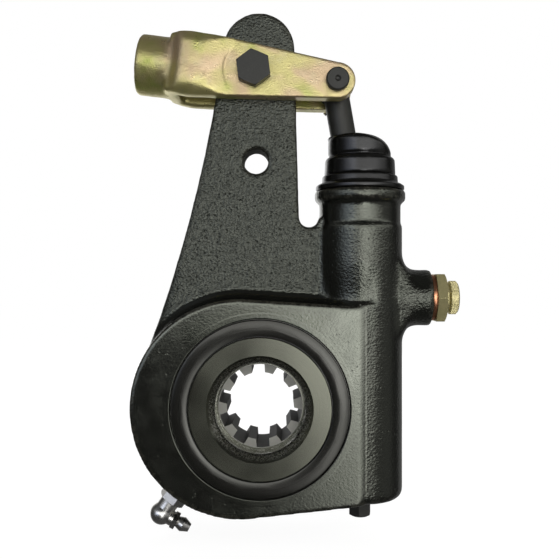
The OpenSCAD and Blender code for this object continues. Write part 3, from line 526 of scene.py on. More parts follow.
# %% Write the finish helpers
TONE = (0.3, 0.7)


def new_finish(name, metallic=0.0, specular=0.5):
    material = bpy.data.materials.new(name)
    material.use_nodes = True
    tree = material.node_tree
    shader = tree.nodes["Principled BSDF"]
    shader.inputs["Metallic"].default_value = metallic
    shader.inputs["Specular IOR Level"].default_value = specular
    place = add(tree, "ShaderNodeTexCoord").outputs["Object"]
    return material, tree, shader, place


def effect(tree, group, **values):
    return add(tree, "ShaderNodeGroup", values, node_tree=group).outputs


def laid_over(tree, colour, mask, share, tint):
    return mixed(tree, product(tree, mask, share), colour, rgb(*tint))


def by_tone(tree, tone, low, high):
    return span(tree, tone, *TONE, low, high)


def coat(tree, shader, colour, roughness):
    tree.links.new(colour, shader.inputs["Base Color"])
    tree.links.new(roughness, shader.inputs["Roughness"])


def bumped(tree, shader, height, depth, under=None):
    inputs = {"Height": height, "Distance": depth, "Strength": 1.0}
    if under is not None:
        inputs["Normal"] = under
    normal = add(tree, "ShaderNodeBump", inputs).outputs["Normal"]
    tree.links.new(normal, shader.inputs["Normal"])
    return normal


def surface_value(tree, name):
    return add(tree, "ShaderNodeAttribute", attribute_name=name).outputs["Fac"]


print("finish helpers ready")

# %% [markdown]
# ### Painted casting
# Black semi-gloss paint over a sand casting. The mesh carries three values, worked out with
# the shape: how coarse the skin is there, how sharp the edge is, and whether the wall is that
# of a drilled hole. Coarse skin gets deep grain, machined faces a fine one, worn edges show
# grey iron through the paint, and the drilled wall is matt.

# %% Make the paint
DRILLED_ROUGHNESS = 0.92
COARSE_ROUGHNESS = 0.16


def painted_casting():
    material, tree, shader, place = new_finish("painted casting", specular=1.0)
    coarse, edge = surface_value(tree, "coarse"), surface_value(tree, "edge")
    grain = effect(tree, CAST_GRAIN, Vector=place, Size=0.00105)
    fine = effect(tree, CAST_GRAIN, Vector=place, Size=0.0005)
    wear = effect(tree, EDGE_WEAR, Vector=place, Edge=edge, Amount=0.7)["Mask"]
    rubbed = effect(tree, SCUFFS, Vector=place, Size=0.009, Spread=0.63)["Mask"]
    paint = mixed(tree, grain["Tone"], rgb(0.003, 0.003, 0.0028), rgb(0.007, 0.007, 0.006))
    paint = laid_over(tree, paint, rubbed, 0.12, (0.024, 0.023, 0.019))
    paint = laid_over(tree, paint, wear, 0.22, (0.13, 0.125, 0.1))
    gloss = by_tone(tree, grain["Tone"], 0.12, 0.18)
    gloss = math_node(tree, "ADD", gloss, product(tree, coarse, COARSE_ROUGHNESS))
    matt = product(tree, surface_value(tree, "drilled"), DRILLED_ROUGHNESS)
    coat(tree, shader, paint, math_node(tree, "MAXIMUM", gloss, matt))
    shader.inputs["Specular Tint"].default_value = rgb(0.95, 1.0, 0.84)
    deep = product(tree, grain["Height"], coarse)
    pitted = product(tree, grain["Pits"], coarse, -0.6)
    skin = bumped(tree, shader, fine["Height"], depth=0.00002)
    bumped(tree, shader, math_node(tree, "ADD", deep, pitted), depth=0.00062, under=skin)
    return material


PAINT = painted_casting()
print("made", PAINT.name)

# %% [markdown]
# ### Black steels
# The cover ring and the pins have a thin black finish, so they shine like dark metal. The ring
# shows the marks of the lathe, while the pins have the fine grain of a forged blank.


# %% Make the black steels
def black_cover():
    material, tree, shader, place = new_finish("black cover", metallic=0.7)
    marks = effect(tree, TURNED_MARKS, Vector=place, Spacing=0.0004)
    rubbed = effect(tree, SCUFFS, Vector=place, Size=0.003, Spread=0.66)["Mask"]
    colour = mixed(tree, marks["Height"], rgb(0.027, 0.027, 0.024), rgb(0.046, 0.046, 0.04))
    colour = laid_over(tree, colour, rubbed, 0.25, (0.12, 0.115, 0.09))
    coat(tree, shader, colour, by_tone(tree, marks["Height"], 0.13, 0.2))
    bumped(tree, shader, marks["Height"], depth=0.000006)
    return material


def black_steel():
    material, tree, shader, place = new_finish("black steel", metallic=0.35)
    grain = effect(tree, CAST_GRAIN, Vector=place, Size=0.0006)
    rubbed = effect(tree, SCUFFS, Vector=place, Size=0.0025, Spread=0.64)["Mask"]
    colour = mixed(tree, grain["Tone"], rgb(0.028, 0.028, 0.025), rgb(0.05, 0.05, 0.045))
    colour = laid_over(tree, colour, rubbed, 0.3, (0.12, 0.115, 0.1))
    coat(tree, shader, colour, by_tone(tree, grain["Tone"], 0.4, 0.52))
    bumped(tree, shader, grain["Height"], depth=0.00006)
    return material


COVER_BLACK = black_cover()
PIN_BLACK = black_steel()
print("made", COVER_BLACK.name, PIN_BLACK.name)

# %% [markdown]
# ### Bare steels
# The gear is bare steel that has browned, with a rubbed, speckled ring at the mouth of its
# splined hole. The radius from the turned marks tells where that ring and the splines are, and
# the surface's own direction paints shade on the walls of the spline teeth, leaving their ends pale.

# %% Make the bare steels
LIP_FROM, LIP_TO = 19.6 * MM, 23.7 * MM
LIP_EDGE = 0.0014
LIP_ROUGHNESS = 0.2
BROACH_EDGE = 0.0005
BROACHED_METALLIC = 0.25
BROACHED_ROUGHNESS = 0.68
END_FACE = (0.5, 0.8)


def gear_steel():
    material, tree, shader, place = new_finish("gear steel")
    marks = effect(tree, TURNED_MARKS, Vector=place, Spacing=0.0005)
    stain = effect(tree, CAST_GRAIN, Vector=place, Size=0.0035)
    rubbed = effect(tree, SCUFFS, Vector=place, Size=0.0008, Spread=0.45)["Mask"]
    edge_in = rising(tree, marks["Radius"], (LIP_FROM, LIP_FROM + LIP_EDGE))
    edge_out = falling(tree, marks["Radius"], (LIP_TO - LIP_EDGE, LIP_TO))
    lip = product(tree, edge_in, edge_out, rubbed)
    broached = falling(tree, marks["Radius"], (LIP_FROM - BROACH_EDGE, LIP_FROM))
    # Painted shade: tooth walls that face sideways get a dark colour standing for shade inside the bore, and
    # ends facing out stay pale.
    normal = add(tree, "ShaderNodeNewGeometry").outputs["Normal"]
    facing = add(tree, "ShaderNodeSeparateXYZ", {0: normal}).outputs["Y"]
    end_face = span(tree, math_node(tree, "ABSOLUTE", facing), *END_FACE)
    splines_with_painted_shade = mixed(tree, end_face, rgb(0.045, 0.045, 0.042), rgb(0.46, 0.455, 0.42))
    colour = mixed(tree, stain["Tone"], rgb(0.075, 0.077, 0.062), rgb(0.125, 0.128, 0.1))
    colour = laid_over(tree, colour, lip, 0.6, (0.45, 0.445, 0.4))
    colour = mixed(tree, product(tree, broached, 0.9), colour, splines_with_painted_shade)
    tree.links.new(span(tree, broached, 0.0, 1.0, 0.9, BROACHED_METALLIC), shader.inputs["Metallic"])
    worn = by_tone(tree, stain["Tone"], 0.15, 0.24)
    worn = math_node(tree, "ADD", worn, product(tree, lip, LIP_ROUGHNESS))
    coat(tree, shader, colour, math_node(tree, "MAXIMUM", worn, product(tree, broached, BROACHED_ROUGHNESS)))
    skin = bumped(tree, shader, marks["Height"], depth=0.000006)
    bumped(tree, shader, lip, depth=0.000012, under=skin)
    return material


def spring_steel():
    material, tree, shader, place = new_finish("spring steel", metallic=1.0)
    grain = effect(tree, CAST_GRAIN, Vector=place, Size=0.0004)
    colour = mixed(tree, grain["Tone"], rgb(0.3, 0.3, 0.29), rgb(0.46, 0.455, 0.44))
    coat(tree, shader, colour, by_tone(tree, grain["Tone"], 0.25, 0.38))
    bumped(tree, shader, grain["Height"], depth=0.00002)
    return material


GEAR_STEEL = gear_steel()
SPRING_STEEL = spring_steel()
print("made", GEAR_STEEL.name, SPRING_STEEL.name)

# %% [markdown]
# ### Yellow zinc
# Yellow zinc isn't one colour: the passivated film drifts between gold, green and rose over a
# few centimetres. Slow noise picks between the three.


# %% Make the yellow zinc
def yellow_zinc():
    material, tree, shader, place = new_finish("yellow zinc", metallic=0.78)
    edge = surface_value(tree, "edge")
    blast = effect(tree, CAST_GRAIN, Vector=place, Size=0.0006)
    dull = effect(tree, SCUFFS, Vector=place, Size=0.006, Spread=0.52)["Mask"]
    wear = effect(tree, EDGE_WEAR, Vector=place, Edge=edge, Amount=0.9)["Mask"]
    drift = noise_at(tree, place, 55.0, detail=3.0, roughness=0.5)
    other = noise_at(tree, place, 38.0, detail=2.0, distortion=0.6)
    green = rising(tree, drift, (0.48, 0.68))
    rose = rising(tree, other, (0.5, 0.7))
    colour = mixed(tree, green, rgb(0.58, 0.52, 0.22), rgb(0.41, 0.46, 0.11))
    colour = laid_over(tree, colour, rose, 0.75, (0.6, 0.42, 0.3))
    colour = laid_over(tree, colour, dull, 0.3, (0.5, 0.455, 0.28))
    colour = laid_over(tree, colour, wear, 0.4, (0.5, 0.37, 0.22))
    coat(tree, shader, colour, by_tone(tree, blast["Tone"], 0.27, 0.42))
    bumped(tree, shader, blast["Height"], depth=0.00014)
    return material


YELLOW_ZINC = yellow_zinc()
print("made", YELLOW_ZINC.name)

# %% [markdown]
# ### Turned metals
# Brass, copper, bronze and bright zinc come off a lathe and only darken a little where hands
# and air have been. One recipe makes all four, with the axis that each was turned about.

# %% Make the turned metals
PAWL_CENTRE = (0.0, 0.0, pawl_z)
BARREL_CENTRE = (barrel_x, 0.0, 0.0)
SHAFT_CENTRE = (0.0, 0.0, 0.0)
ABOUT_X = (0.0, 1.0, 1.0)
ABOUT_Y = (1.0, 0.0, 1.0)
ABOUT_Z = (1.0, 1.0, 0.0)


def soft_metal(name, clean, tarnished, roughness, across, centre, metallic=1.0):
    material, tree, shader, place = new_finish(name, metallic=metallic)
    marks = effect(tree, TURNED_MARKS, Vector=place, Spacing=0.00022, Across=across, Centre=centre)
    dull = effect(tree, SCUFFS, Vector=place, Size=0.012, Spread=0.45)["Mask"]
    colour = laid_over(tree, rgb(*clean), dull, 0.6, tarnished)
    coat(tree, shader, colour, span(tree, dull, 0.0, 1.0, *roughness))
    bumped(tree, shader, marks["Height"], depth=0.00002)
    return material


BRASS = soft_metal(
    "aged brass", (0.58, 0.52, 0.27), (0.44, 0.4, 0.2), (0.34, 0.44), ABOUT_X, PAWL_CENTRE, metallic=0.6
)
COPPER = soft_metal(
    "aged copper", (0.78, 0.36, 0.2), (0.45, 0.2, 0.11), (0.26, 0.4), ABOUT_X, PAWL_CENTRE
)
BRIGHT_ZINC = soft_metal(
    "bright zinc", (0.7, 0.69, 0.66), (0.55, 0.54, 0.51), (0.24, 0.34), ABOUT_Y, SHAFT_CENTRE
)
BRONZE = soft_metal(
    "plain bronze", (0.55, 0.38, 0.17), (0.33, 0.22, 0.1), (0.3, 0.42), ABOUT_Z, BARREL_CENTRE
)
print("made", BRASS.name, COPPER.name, BRIGHT_ZINC.name, BRONZE.name)

# %% [markdown]
# ### Rubber
# The boot is moulded rubber with a fairly glossy skin: almost black, a little blotched, with a
# faint mould texture that breaks up its highlights.


# %% Make the rubber
def black_rubber():
    material, tree, shader, place = new_finish("black rubber")
    skin = effect(tree, CAST_GRAIN, Vector=place, Size=0.0004)
    bloom = effect(tree, SCUFFS, Vector=place, Size=0.006, Spread=0.5)["Mask"]
    colour = laid_over(tree, rgb(0.005, 0.005, 0.0045), bloom, 0.4, (0.013, 0.013, 0.011))
    coat(tree, shader, colour, span(tree, bloom, 0.0, 1.0, 0.17, 0.27))
    bumped(tree, shader, skin["Height"], depth=0.00003)
    return material


RUBBER = black_rubber()
print("made", RUBBER.name)

# %% [markdown]
# ## Copies to work on
# A node of the frame is never changed. Where a piece needs softer edges than a machine model
# has, a copy is made, its loose triangles are merged, and the copy stands for the node. The
# modifiers on a copy are turned into a plain mesh at once.

# %% Write the copying helpers
MERGE = 2e-6


def bake(piece):
    graph = bpy.context.evaluated_depsgraph_get()
    mesh = bpy.data.meshes.new_from_object(piece.evaluated_get(graph))
    piece.modifiers.clear()
    old = piece.data
    piece.data = mesh
    mesh.name = piece.name
    if old.users == 0:
        bpy.data.meshes.remove(old)
    return piece


def linked(name, mesh):
    piece = bpy.data.objects.new(name, mesh)
    scene.collection.objects.link(piece)
    return piece


def merged_copy(node, name):
    work = bmesh.new()
    work.from_mesh(nodes[node].data)
    bmesh.ops.remove_doubles(work, verts=work.verts, dist=MERGE)
    mesh = bpy.data.meshes.new(name)
    work.to_mesh(mesh)
    work.free()
    if "custom_normal" in mesh.attributes:
        mesh.attributes.remove(mesh.attributes["custom_normal"])
    mesh.materials.clear()
    return linked(name, mesh)


def stand_for(piece, node, material):
    piece.data.materials.clear()
    piece.data.materials.append(material)
    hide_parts(node)
    return piece


def remeshed(piece, voxel):
    change = piece.modifiers.new("remesh", "REMESH")
    change.mode = "VOXEL"
    change.voxel_size = voxel
    change.use_smooth_shade = True
    return bake(piece)


print("copying helpers ready")

# %% [markdown]
# ### Points as arrays
# A remeshed skin has tens of thousands of points, so they are handled as arrays. Relaxing
# draws each point towards the middle of its neighbours, by a weight of its own.

# %% Write the point helpers
RELAX_STEP = 0.5
EDGE_SPREAD_ROUNDS = 5
EDGE_GAIN = 2.6


def corners_of(mesh):
    points = np.empty(len(mesh.vertices) * 3)
    mesh.vertices.foreach_get("co", points)
    return points.reshape(-1, 3)


def edges_of(mesh):
    ends = np.empty(len(mesh.edges) * 2, dtype=np.int64)
    mesh.edges.foreach_get("vertices", ends)
    return ends.reshape(-1, 2)


def normals_of(mesh):
    normals = np.empty(len(mesh.vertices) * 3)
    mesh.vertex_normals.foreach_get("vector", normals)
    return normals.reshape(-1, 3)


def neighbour_mean(values, ends):
    count = len(values)
    share = np.bincount(ends.ravel(), minlength=count).clip(1)
    columns = []
    for column in values.reshape(count, -1).T:
        total = np.bincount(ends[:, 0], column[ends[:, 1]], count)
        total += np.bincount(ends[:, 1], column[ends[:, 0]], count)
        columns.append(total / share)
    return np.stack(columns, axis=1).reshape(values.shape)


def relax(points, ends, weight, rounds):
    for _ in range(rounds):
        points = points + RELAX_STEP * weight[:, None] * (neighbour_mean(points, ends) - points)
    return points


def write_points(mesh, points):
    mesh.vertices.foreach_set("co", points.ravel())
    mesh.update()


def write_value(mesh, name, values):
    layer = mesh.attributes.get(name) or mesh.attributes.new(name, "FLOAT", "POINT")
    layer.data.foreach_set("value", values.astype(np.float32))


def edge_value(mesh, ends, reach):
    points, normals = corners_of(mesh), normals_of(mesh)
    lean = ((points - neighbour_mean(points, ends)) * normals).sum(axis=1)
    sharp = np.clip(lean / reach, 0, 1)
    for _ in range(EDGE_SPREAD_ROUNDS):
        sharp = 0.5 * sharp + 0.5 * neighbour_mean(sharp, ends)
    return np.clip(sharp * EDGE_GAIN, 0, 1)


def mm(*values):
    return tuple(value * MM for value in values)


def ramp(values, edges, start=0.0):
    low, high = start + edges[0], start + edges[1]
    t = np.clip((values - low) / (high - low), 0, 1)
    return t * t * (3 - 2 * t)


def at_least(least, share):
    return least + (1 - least) * share


def lumps(points, size, seed):
    shift = Vector((seed, 0, 0))
    return np.array([noise.fractal(Vector(p / size) + shift, 0.6, 2.0, 2) for p in points])


def surface_of(node):
    mesh = nodes[node].data
    return BVHTree.FromPolygons([v.co for v in mesh.vertices], [p.vertices for p in mesh.polygons])


print("point helpers ready")

# %% [markdown]
# ## Cast housing
# Sand casting leaves soft edges and a skin that is never quite flat, while the machined seats
# stay crisp. A bevel would only round the edges and leave the corners hard, so a voxel remesh
# gives an even skin, and its points are eased zone by zone. A zone is a number from 0 to 1 for
# every point, from its distance to the shaft, the barrel, the pawl and the pins. Zones fade
# in and out, because a hard border would show as a line.

# %% Find the cast and the machined zones
# A pair says where a zone starts and where it is full, or where its fade starts and ends.
COVER_SEAT = mm(0.4, 2)
BORE_SEAT = mm(0.8, 2.4)
PIN_SEAT = mm(9, 10.5)
SPARE_HOLE_SEAT = mm(0.2, 1.8)
SPARE_HOLE_EASE = 0.25
BOSS_END_SEAT = mm(0.5, 2)
BOSS_END_EASE = 0.3
BOSS_ROOT = mm(8, 14)
BOSS_TIP = mm(2, 8)
BOSS_ROUND = mm(17, 24)
FLAT_FACE = mm(-0.8, -0.2)
MILLED_FACE = mm(-2.6, -1.4)
FACE_REACH = 75 * MM
COLLAR = mm(-16, -15)
COLLAR_REACH = 24 * MM


def places_on_housing(points):
    x, y, z = points.T
    return SimpleNamespace(
        x=x, y=y, z=z, depth=np.abs(y),
        from_shaft=np.hypot(x, z),
        from_barrel=np.hypot(x - barrel_x, y),
        from_pawl=np.hypot(y, z - pawl_z),
        from_pin=np.hypot(x - clevis_pin_at.x, z - clevis_pin_at.z),
        from_spare=np.hypot(x - spare_hole_at.x, z - spare_hole_at.z),
        from_boss_end=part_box("housing")[1].x - x,
    )


def cast_zone(at):
    seats = [
        ramp(at.from_shaft, COVER_SEAT, cover_r),
        ramp(at.from_barrel, BORE_SEAT, half_width("worm_bush")),
        ramp(at.from_pin, PIN_SEAT),
        at_least(SPARE_HOLE_EASE, ramp(at.from_spare, SPARE_HOLE_SEAT, spare_hole_r)),
        at_least(BOSS_END_EASE, ramp(at.from_boss_end, BOSS_END_SEAT)),
    ]
    return np.minimum.reduce(seats)


def boss_root_zone(at):
    root = ramp(at.x, BOSS_ROOT, barrel_x) * ramp(at.from_boss_end, BOSS_TIP)
    return root * (1 - ramp(at.from_pawl, BOSS_ROUND))


def face_zone(at, edges):
    return ramp(at.depth, edges, case_half) * (at.from_shaft < FACE_REACH)


def collar_zone(at):
    return (at.from_barrel < COLLAR_REACH) * ramp(at.z, COLLAR, boot_seat)


print("cast and machined zones ready")

# %% [markdown]
# ### Zones where arm, case and barrel meet
# The top of the case slopes from the shaft to the barrel, so the zones here go by the height
# over that slope. It is measured on the flat face, at two places.

# %% Find the zones at the top of the case
TOP_PROBE_IN = 1 * MM
TOP_PROBE_HALF = 2 * MM
WALL_FOOT = mm(-1.5, 0)
WALL_TOP = mm(13, 16)
CORNER_START = mm(-16, -12)
CORNER_END = mm(9, 14)
CORNER_RIGHT = mm(-16, -6)
NECK_START = mm(0.2, 2.2)
NECK_FADE = mm(3.2, 20)
NECK_INNER = mm(17.5, 18.5)
NECK_OUTER = mm(21, 23)
NECK_SIDE = mm(8, 13)
NECK_RIGHT = mm(2, 8)
LONG_EDGE = mm(1.5, 4)
LONG_EDGE_SIDE = 10 * MM
LONG_EDGE_TOP = mm(-4, -0.5)


def height_over_case(at, on_face):
    probes = (TOP_PROBE_IN, barrel_x - TOP_PROBE_IN)
    tops = [at.z[on_face & (np.abs(at.x - probe) < TOP_PROBE_HALF)].max() for probe in probes]
    return at.z - np.polyval(np.polyfit([0, barrel_x], tops, 1), at.x)


def corner_zone(at, over_case):
    wall = ramp(at.depth, WALL_FOOT, arm_half) * (1 - ramp(at.depth, WALL_TOP))
    zone = wall * ramp(over_case, CORNER_START) * (1 - ramp(over_case, CORNER_END))
    return zone * (1 - ramp(at.x, CORNER_RIGHT, barrel_x))


def neck_zone(at, over_case):
    zone = ramp(over_case, NECK_START) * (1 - ramp(over_case, NECK_FADE))
    zone *= ramp(at.from_barrel, NECK_INNER) * (1 - ramp(at.from_barrel, NECK_OUTER))
    return zone * ramp(at.depth, NECK_SIDE) * (1 - ramp(at.x, NECK_RIGHT, barrel_x))


def long_edge_zone(at, over_case, face_end):
    zone = (1 - ramp(np.abs(at.x - face_end), LONG_EDGE)) * (at.depth > LONG_EDGE_SIDE)
    return zone * (1 - ramp(over_case, LONG_EDGE_TOP))


print("zones at the top of the case ready")

# %% [markdown]
# ### Skin of the casting
# Besides its shape, the casting gets a slow noise that lifts the cast walls by a tenth of a
# millimetre, and the low seam where the two halves of the mould met. The zones also say how
# coarse the paint looks: least on the flat faces, most on the arm.

# %% Write the skin of the casting
LUMP_HEIGHT = 0.11 * MM
LUMP_SIZE = 7.0 * MM
LUMP_SEED = 3.0
SEAM_HEIGHT = 0.3 * MM
SEAM_HALF = 1.3 * MM
SEAM_SLOPE = 0.4
SEAM_LEFT = -14 * MM
SEAM_TOP = 150 * MM
SEAM_FROM_SHAFT = 44 * MM
SEAM_FROM_PIN = 12 * MM
BARREL_WALL = mm(20, 22)
BOSS_SKIN = mm(14, 20)
HOLLOW_SLOPE = (0.2, 0.45)
HOLLOW_TOP = 14 * MM
SMOOTHER_BY = {"flat_face": 0.97, "barrel": 0.7, "hollow": 0.85, "collar": 0.6, "boss": 0.45}
LEAST_COARSE = 0.03
DRILLED_REACH = 0.6 * MM
DRILLED_SLOPE = 0.6
WORN_EDGE = 0.16 * MM
WORN_FROM_COVER = mm(2, 4)


def coarse_skin(at, normals, cast, flat_face, collar):
    zones = {
        "flat_face": flat_face,
        "barrel": (1 - ramp(at.from_barrel, BARREL_WALL)) * (1 - flat_face),
        "hollow": ramp(normals[:, 2], HOLLOW_SLOPE) * (at.depth > arm_half) * (at.z < case_top + HOLLOW_TOP),
        "collar": collar,
        "boss": ramp(at.x, BOSS_SKIN, barrel_x),
    }
    coarse = cast
    for name, zone in zones.items():
        coarse = coarse * (1 - SMOOTHER_BY[name] * zone)
    return coarse


def seam_rise(at, normals):
    side = (np.abs(normals[:, 1]) < SEAM_SLOPE) & ((at.x < SEAM_LEFT) | (at.z > SEAM_TOP))
    side = side & (at.from_shaft > SEAM_FROM_SHAFT) & (at.from_pin > SEAM_FROM_PIN)
    return SEAM_HEIGHT * side * (1 - np.clip(at.depth / SEAM_HALF, 0, 1)) ** 2


def skin_casting(mesh, points, ends, at, cast, flat_face, collar):
    normals = normals_of(mesh)
    coarse = coarse_skin(at, normals, cast, flat_face, collar)
    rise = LUMP_HEIGHT * coarse * lumps(points, LUMP_SIZE, LUMP_SEED) + seam_rise(at, normals)
    write_points(mesh, points + normals * rise[:, None])
    drilled = (at.from_spare < spare_hole_r + DRILLED_REACH) * (np.abs(normals[:, 1]) < DRILLED_SLOPE)
    worn = edge_value(mesh, ends, WORN_EDGE) * ramp(at.from_shaft, WORN_FROM_COVER, cover_r)
    write_value(mesh, "coarse", at_least(LEAST_COARSE, coarse))
    write_value(mesh, "drilled", drilled)
    write_value(mesh, "edge", worn)


print("skin of the casting ready")

# %% [markdown]
# ### Shape of the casting
# Cast walls are eased first, most of all around the root of the pawl boss. Where a line must
# stay crisp, at the milled faces and the collar, the points are laid back on the model and
# eased only a little. The corner between the arm and the case is softened, the barrel gets a
# shallow groove above the case, and the long edge of the flat face is rounded.

# %% Shape the casting
HOUSING_VOXEL = 0.935 * MM
CAST_ROUNDS = 5
JUNCTION_ROUNDS = 26
CRISP_ROUNDS = 2
CRISP_SHARE = 0.7
COLLAR_ROUNDS = 2
COLLAR_SHARE = 0.9
CORNER_ROUNDS = 18
NECK_DEPTH = 0.9 * MM
EDGE_ROUNDS = 10
RIM_REACH = 0.7 * MM
LEAST_SHARE = 0.01


def laid_back(points, share, node):
    tree = surface_of(node)
    out = points.copy()
    for index in np.flatnonzero(share > LEAST_SHARE):
        place = tree.find_nearest(Vector(points[index]))[0]
        out[index] += share[index] * (np.array(place) - points[index])
    return out


def drawn_to_rim(points, side, radius):
    from_shaft = np.hypot(points[:, 0], points[:, 2])
    rim = np.abs(points[:, 1] - side * case_half) < RIM_REACH
    rim &= np.abs(from_shaft - radius) < RIM_REACH
    out = points.copy()
    out[rim, 0] *= radius / from_shaft[rim]
    out[rim, 2] *= radius / from_shaft[rim]
    out[rim, 1] = side * case_half
    return out


def shape_housing():
    piece = remeshed(merged_copy("housing", "cast_body"), HOUSING_VOXEL)
    mesh = piece.data
    points, ends = corners_of(mesh), edges_of(mesh)
    at = places_on_housing(points)
    cast = cast_zone(at)
    points = relax(points, ends, cast, CAST_ROUNDS)
    points = relax(points, ends, cast * boss_root_zone(at), JUNCTION_ROUNDS)
    flat_face, collar = face_zone(at, FLAT_FACE), collar_zone(at)
    crisp = np.maximum(face_zone(at, MILLED_FACE), collar)
    points = laid_back(points, crisp, "housing")
    points = relax(points, ends, CRISP_SHARE * crisp, CRISP_ROUNDS)
    points = relax(points, ends, COLLAR_SHARE * collar * cast, COLLAR_ROUNDS)
    on_face = (flat_face > 0.5) & (at.y < 0) & (at.x > 0)
    over_case = height_over_case(at, on_face)
    points = relax(points, ends, cast * corner_zone(at, over_case), CORNER_ROUNDS)
    inward = np.stack([barrel_x - at.x, -at.y, np.zeros(len(at.x))], axis=1) / at.from_barrel[:, None]
    points = points + NECK_DEPTH * neck_zone(at, over_case)[:, None] * inward
    long_edge = long_edge_zone(at, over_case, at.x[on_face].max())
    points = relax(points, ends, long_edge, EDGE_ROUNDS)
    points = drawn_to_rim(points, -1, cover_r)
    points = drawn_to_rim(points, 1, rear_bore_r)
    write_points(mesh, points)
    skin_casting(mesh, points, ends, at, cast, flat_face, collar)
    mesh.shade_smooth()
    return stand_for(piece, "housing", PAINT)


cast_body = shape_housing()
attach(cast_body, "housing")
print("cast body:", len(cast_body.data.polygons), "faces")

# %% [markdown]
# ### Rims of the two bores
# The bores for the cover and the rear seal are turned after casting, and an even skin can't
# hold so sharp a circle. A thin ring, spun from a short section, gives each bore a clean rim.

# %% Turn the rims of the two bores
SEAT_STEPS = 160
SEAT_PROUD = 0.03 * MM
# Each step of the section: how far out from the bore, and how far down, in mm.
SEAT_SECTION = (
    (3.2, 0.05), (2.4, 0.0), (2.2, 0.0), (0.45, 0.0), (0.3, 0.0), (0.12, 0.05), (0.05, 0.2), (0.05, 3.5),
)


def seat_ring(name, side, radius):
    face = side * (case_half + SEAT_PROUD)
    outline = [(radius + out * MM, face - side * down * MM) for out, down in SEAT_SECTION]
    turn = np.linspace(0, 2 * math.pi, SEAT_STEPS, endpoint=False)
    corners = [(r * math.cos(a), y, r * math.sin(a)) for a in turn for r, y in outline]
    rows = len(outline)
    quads = []
    for i in range(SEAT_STEPS):
        here, beyond = i * rows, (i + 1) % SEAT_STEPS * rows
        quads += [(here + k, here + k + 1, beyond + k + 1, beyond + k)[::side] for k in range(rows - 1)]
    mesh = bpy.data.meshes.new(name)
    mesh.from_pydata(corners, [], quads)
    mesh.shade_smooth()
    mesh.materials.append(PAINT)
    write_value(mesh, "coarse", np.full(len(corners), LEAST_COARSE))
    piece = linked(name, mesh)
    return piece


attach(seat_ring("front_seat", -1, cover_r), "housing")
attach(seat_ring("rear_seat", 1, rear_bore_r), "housing")
print("rims turned at", round(cover_r / MM, 1), "and", round(rear_bore_r / MM, 1), "mm")

# %% [markdown]
# ## Forged clevis
# A forging has soft edges too, but its ears are milled flat and its holes are drilled. It is
# eased like the casting, on a finer skin. The bore of the boss is opened to the thread's root
# first, so that the thread can be laid into it as a real ridge.

# %% Shape the clevis
CLEVIS_VOXEL = 0.45 * MM
FORGED_ROUNDS = 9
BODY_ROUNDS = 44
THREAD_PITCH = 1.41 * MM
THREAD_DEPTH = 0.62 * MM
PIN_HOLE = mm(6.6, 8)
LINK_HOLE = mm(4.3, 5.6)
THREAD_HOLE = mm(0.3, 1.5)
EAR_END = mm(10, 16)
EAR_EASE = 0.35
BODY_START = mm(17, 24)
BODY_END = mm(1, 4)
BORE_WALL = 0.35 * MM
BORE_DEPTH = -10 * MM
BORE_END = mm(-9.6, -8.6)
HAMMERED = mm(14, 20)
HAMMER_HEIGHT = 0.07 * MM
HAMMER_SIZE = 5 * MM
HAMMER_SEED = 9.0
FORGED_EDGE = 0.09 * MM


def along_and_off(points, origin, axis):
    away = points - np.array(origin)
    along = away @ np.array(axis)
    off = away - along[:, None] * np.array(axis)
    return along, off


def shape_clevis():
    piece = remeshed(merged_copy("clevis", "clevis_forging"), CLEVIS_VOXEL)
    mesh = piece.data
    points, ends = corners_of(mesh), edges_of(mesh)
    x, z = points[:, 0], points[:, 2]
    from_pin = np.hypot(x - clevis_pin_at.x, z - clevis_pin_at.z)
    from_link = np.hypot(x - link_pin_at.x, z - link_pin_at.z)
    left_of_pin = clevis_pin_at.x - x
    along, off = along_and_off(points, thread_at, thread_axis)
    from_axis = np.linalg.norm(off, axis=1)
    holes = [
        ramp(from_pin, PIN_HOLE),
        ramp(from_link, LINK_HOLE),
        ramp(from_axis, THREAD_HOLE, thread_minor_r),
    ]
    soft = np.minimum.reduce(holes)
    forged = at_least(EAR_EASE, ramp(left_of_pin, EAR_END))
    points = relax(points, ends, soft * forged, FORGED_ROUNDS)
    body = ramp(left_of_pin, BODY_START) * (1 - ramp(along, BODY_END))
    points = relax(points, ends, soft * body, BODY_ROUNDS)
    wall = (np.abs(from_axis - thread_minor_r) < BORE_WALL) & (along > BORE_DEPTH)
    push = THREAD_DEPTH * wall * ramp(along, BORE_END)
    points = points + off / from_axis.clip(1e-6)[:, None] * push[:, None]
    write_points(mesh, points)
    hammered = soft * ramp(left_of_pin, HAMMERED)
    rise = HAMMER_HEIGHT * hammered * lumps(points, HAMMER_SIZE, HAMMER_SEED)
    write_points(mesh, points + normals_of(mesh) * rise[:, None])
    write_value(mesh, "edge", edge_value(mesh, ends, FORGED_EDGE))
    mesh.shade_smooth()
    return stand_for(piece, "clevis", YELLOW_ZINC)


clevis_forging = shape_clevis()
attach(clevis_forging, "clevis")
print("clevis forging:", len(clevis_forging.data.polygons), "faces")

# %% [markdown]
# ### The push rod thread
# A thread is one ridge that follows a helix, so Geometry Nodes can sweep it: a spiral, a small
# profile, and the curve-to-mesh node. Its pitch, radius, length and depth are inputs of the
# tree. Displacing the bore instead would need far more faces.

# %% Sweep the thread
THREAD_LENGTH = 17.4 * MM
THREAD_INSET = 0.4 * MM
THREAD_STEPS = 40
PROFILE_STEPS = 4


def node_tree(name, inputs):
    tree = bpy.data.node_groups.new(name, "GeometryNodeTree")
    tree.interface.new_socket("Geometry", in_out="INPUT", socket_type="NodeSocketGeometry")
    for label, kind in inputs:
        tree.interface.new_socket(label, in_out="INPUT", socket_type=kind)
    tree.interface.new_socket("Geometry", in_out="OUTPUT", socket_type="NodeSocketGeometry")
    return tree, tree.nodes.new("NodeGroupInput").outputs, tree.nodes.new("NodeGroupOutput").inputs


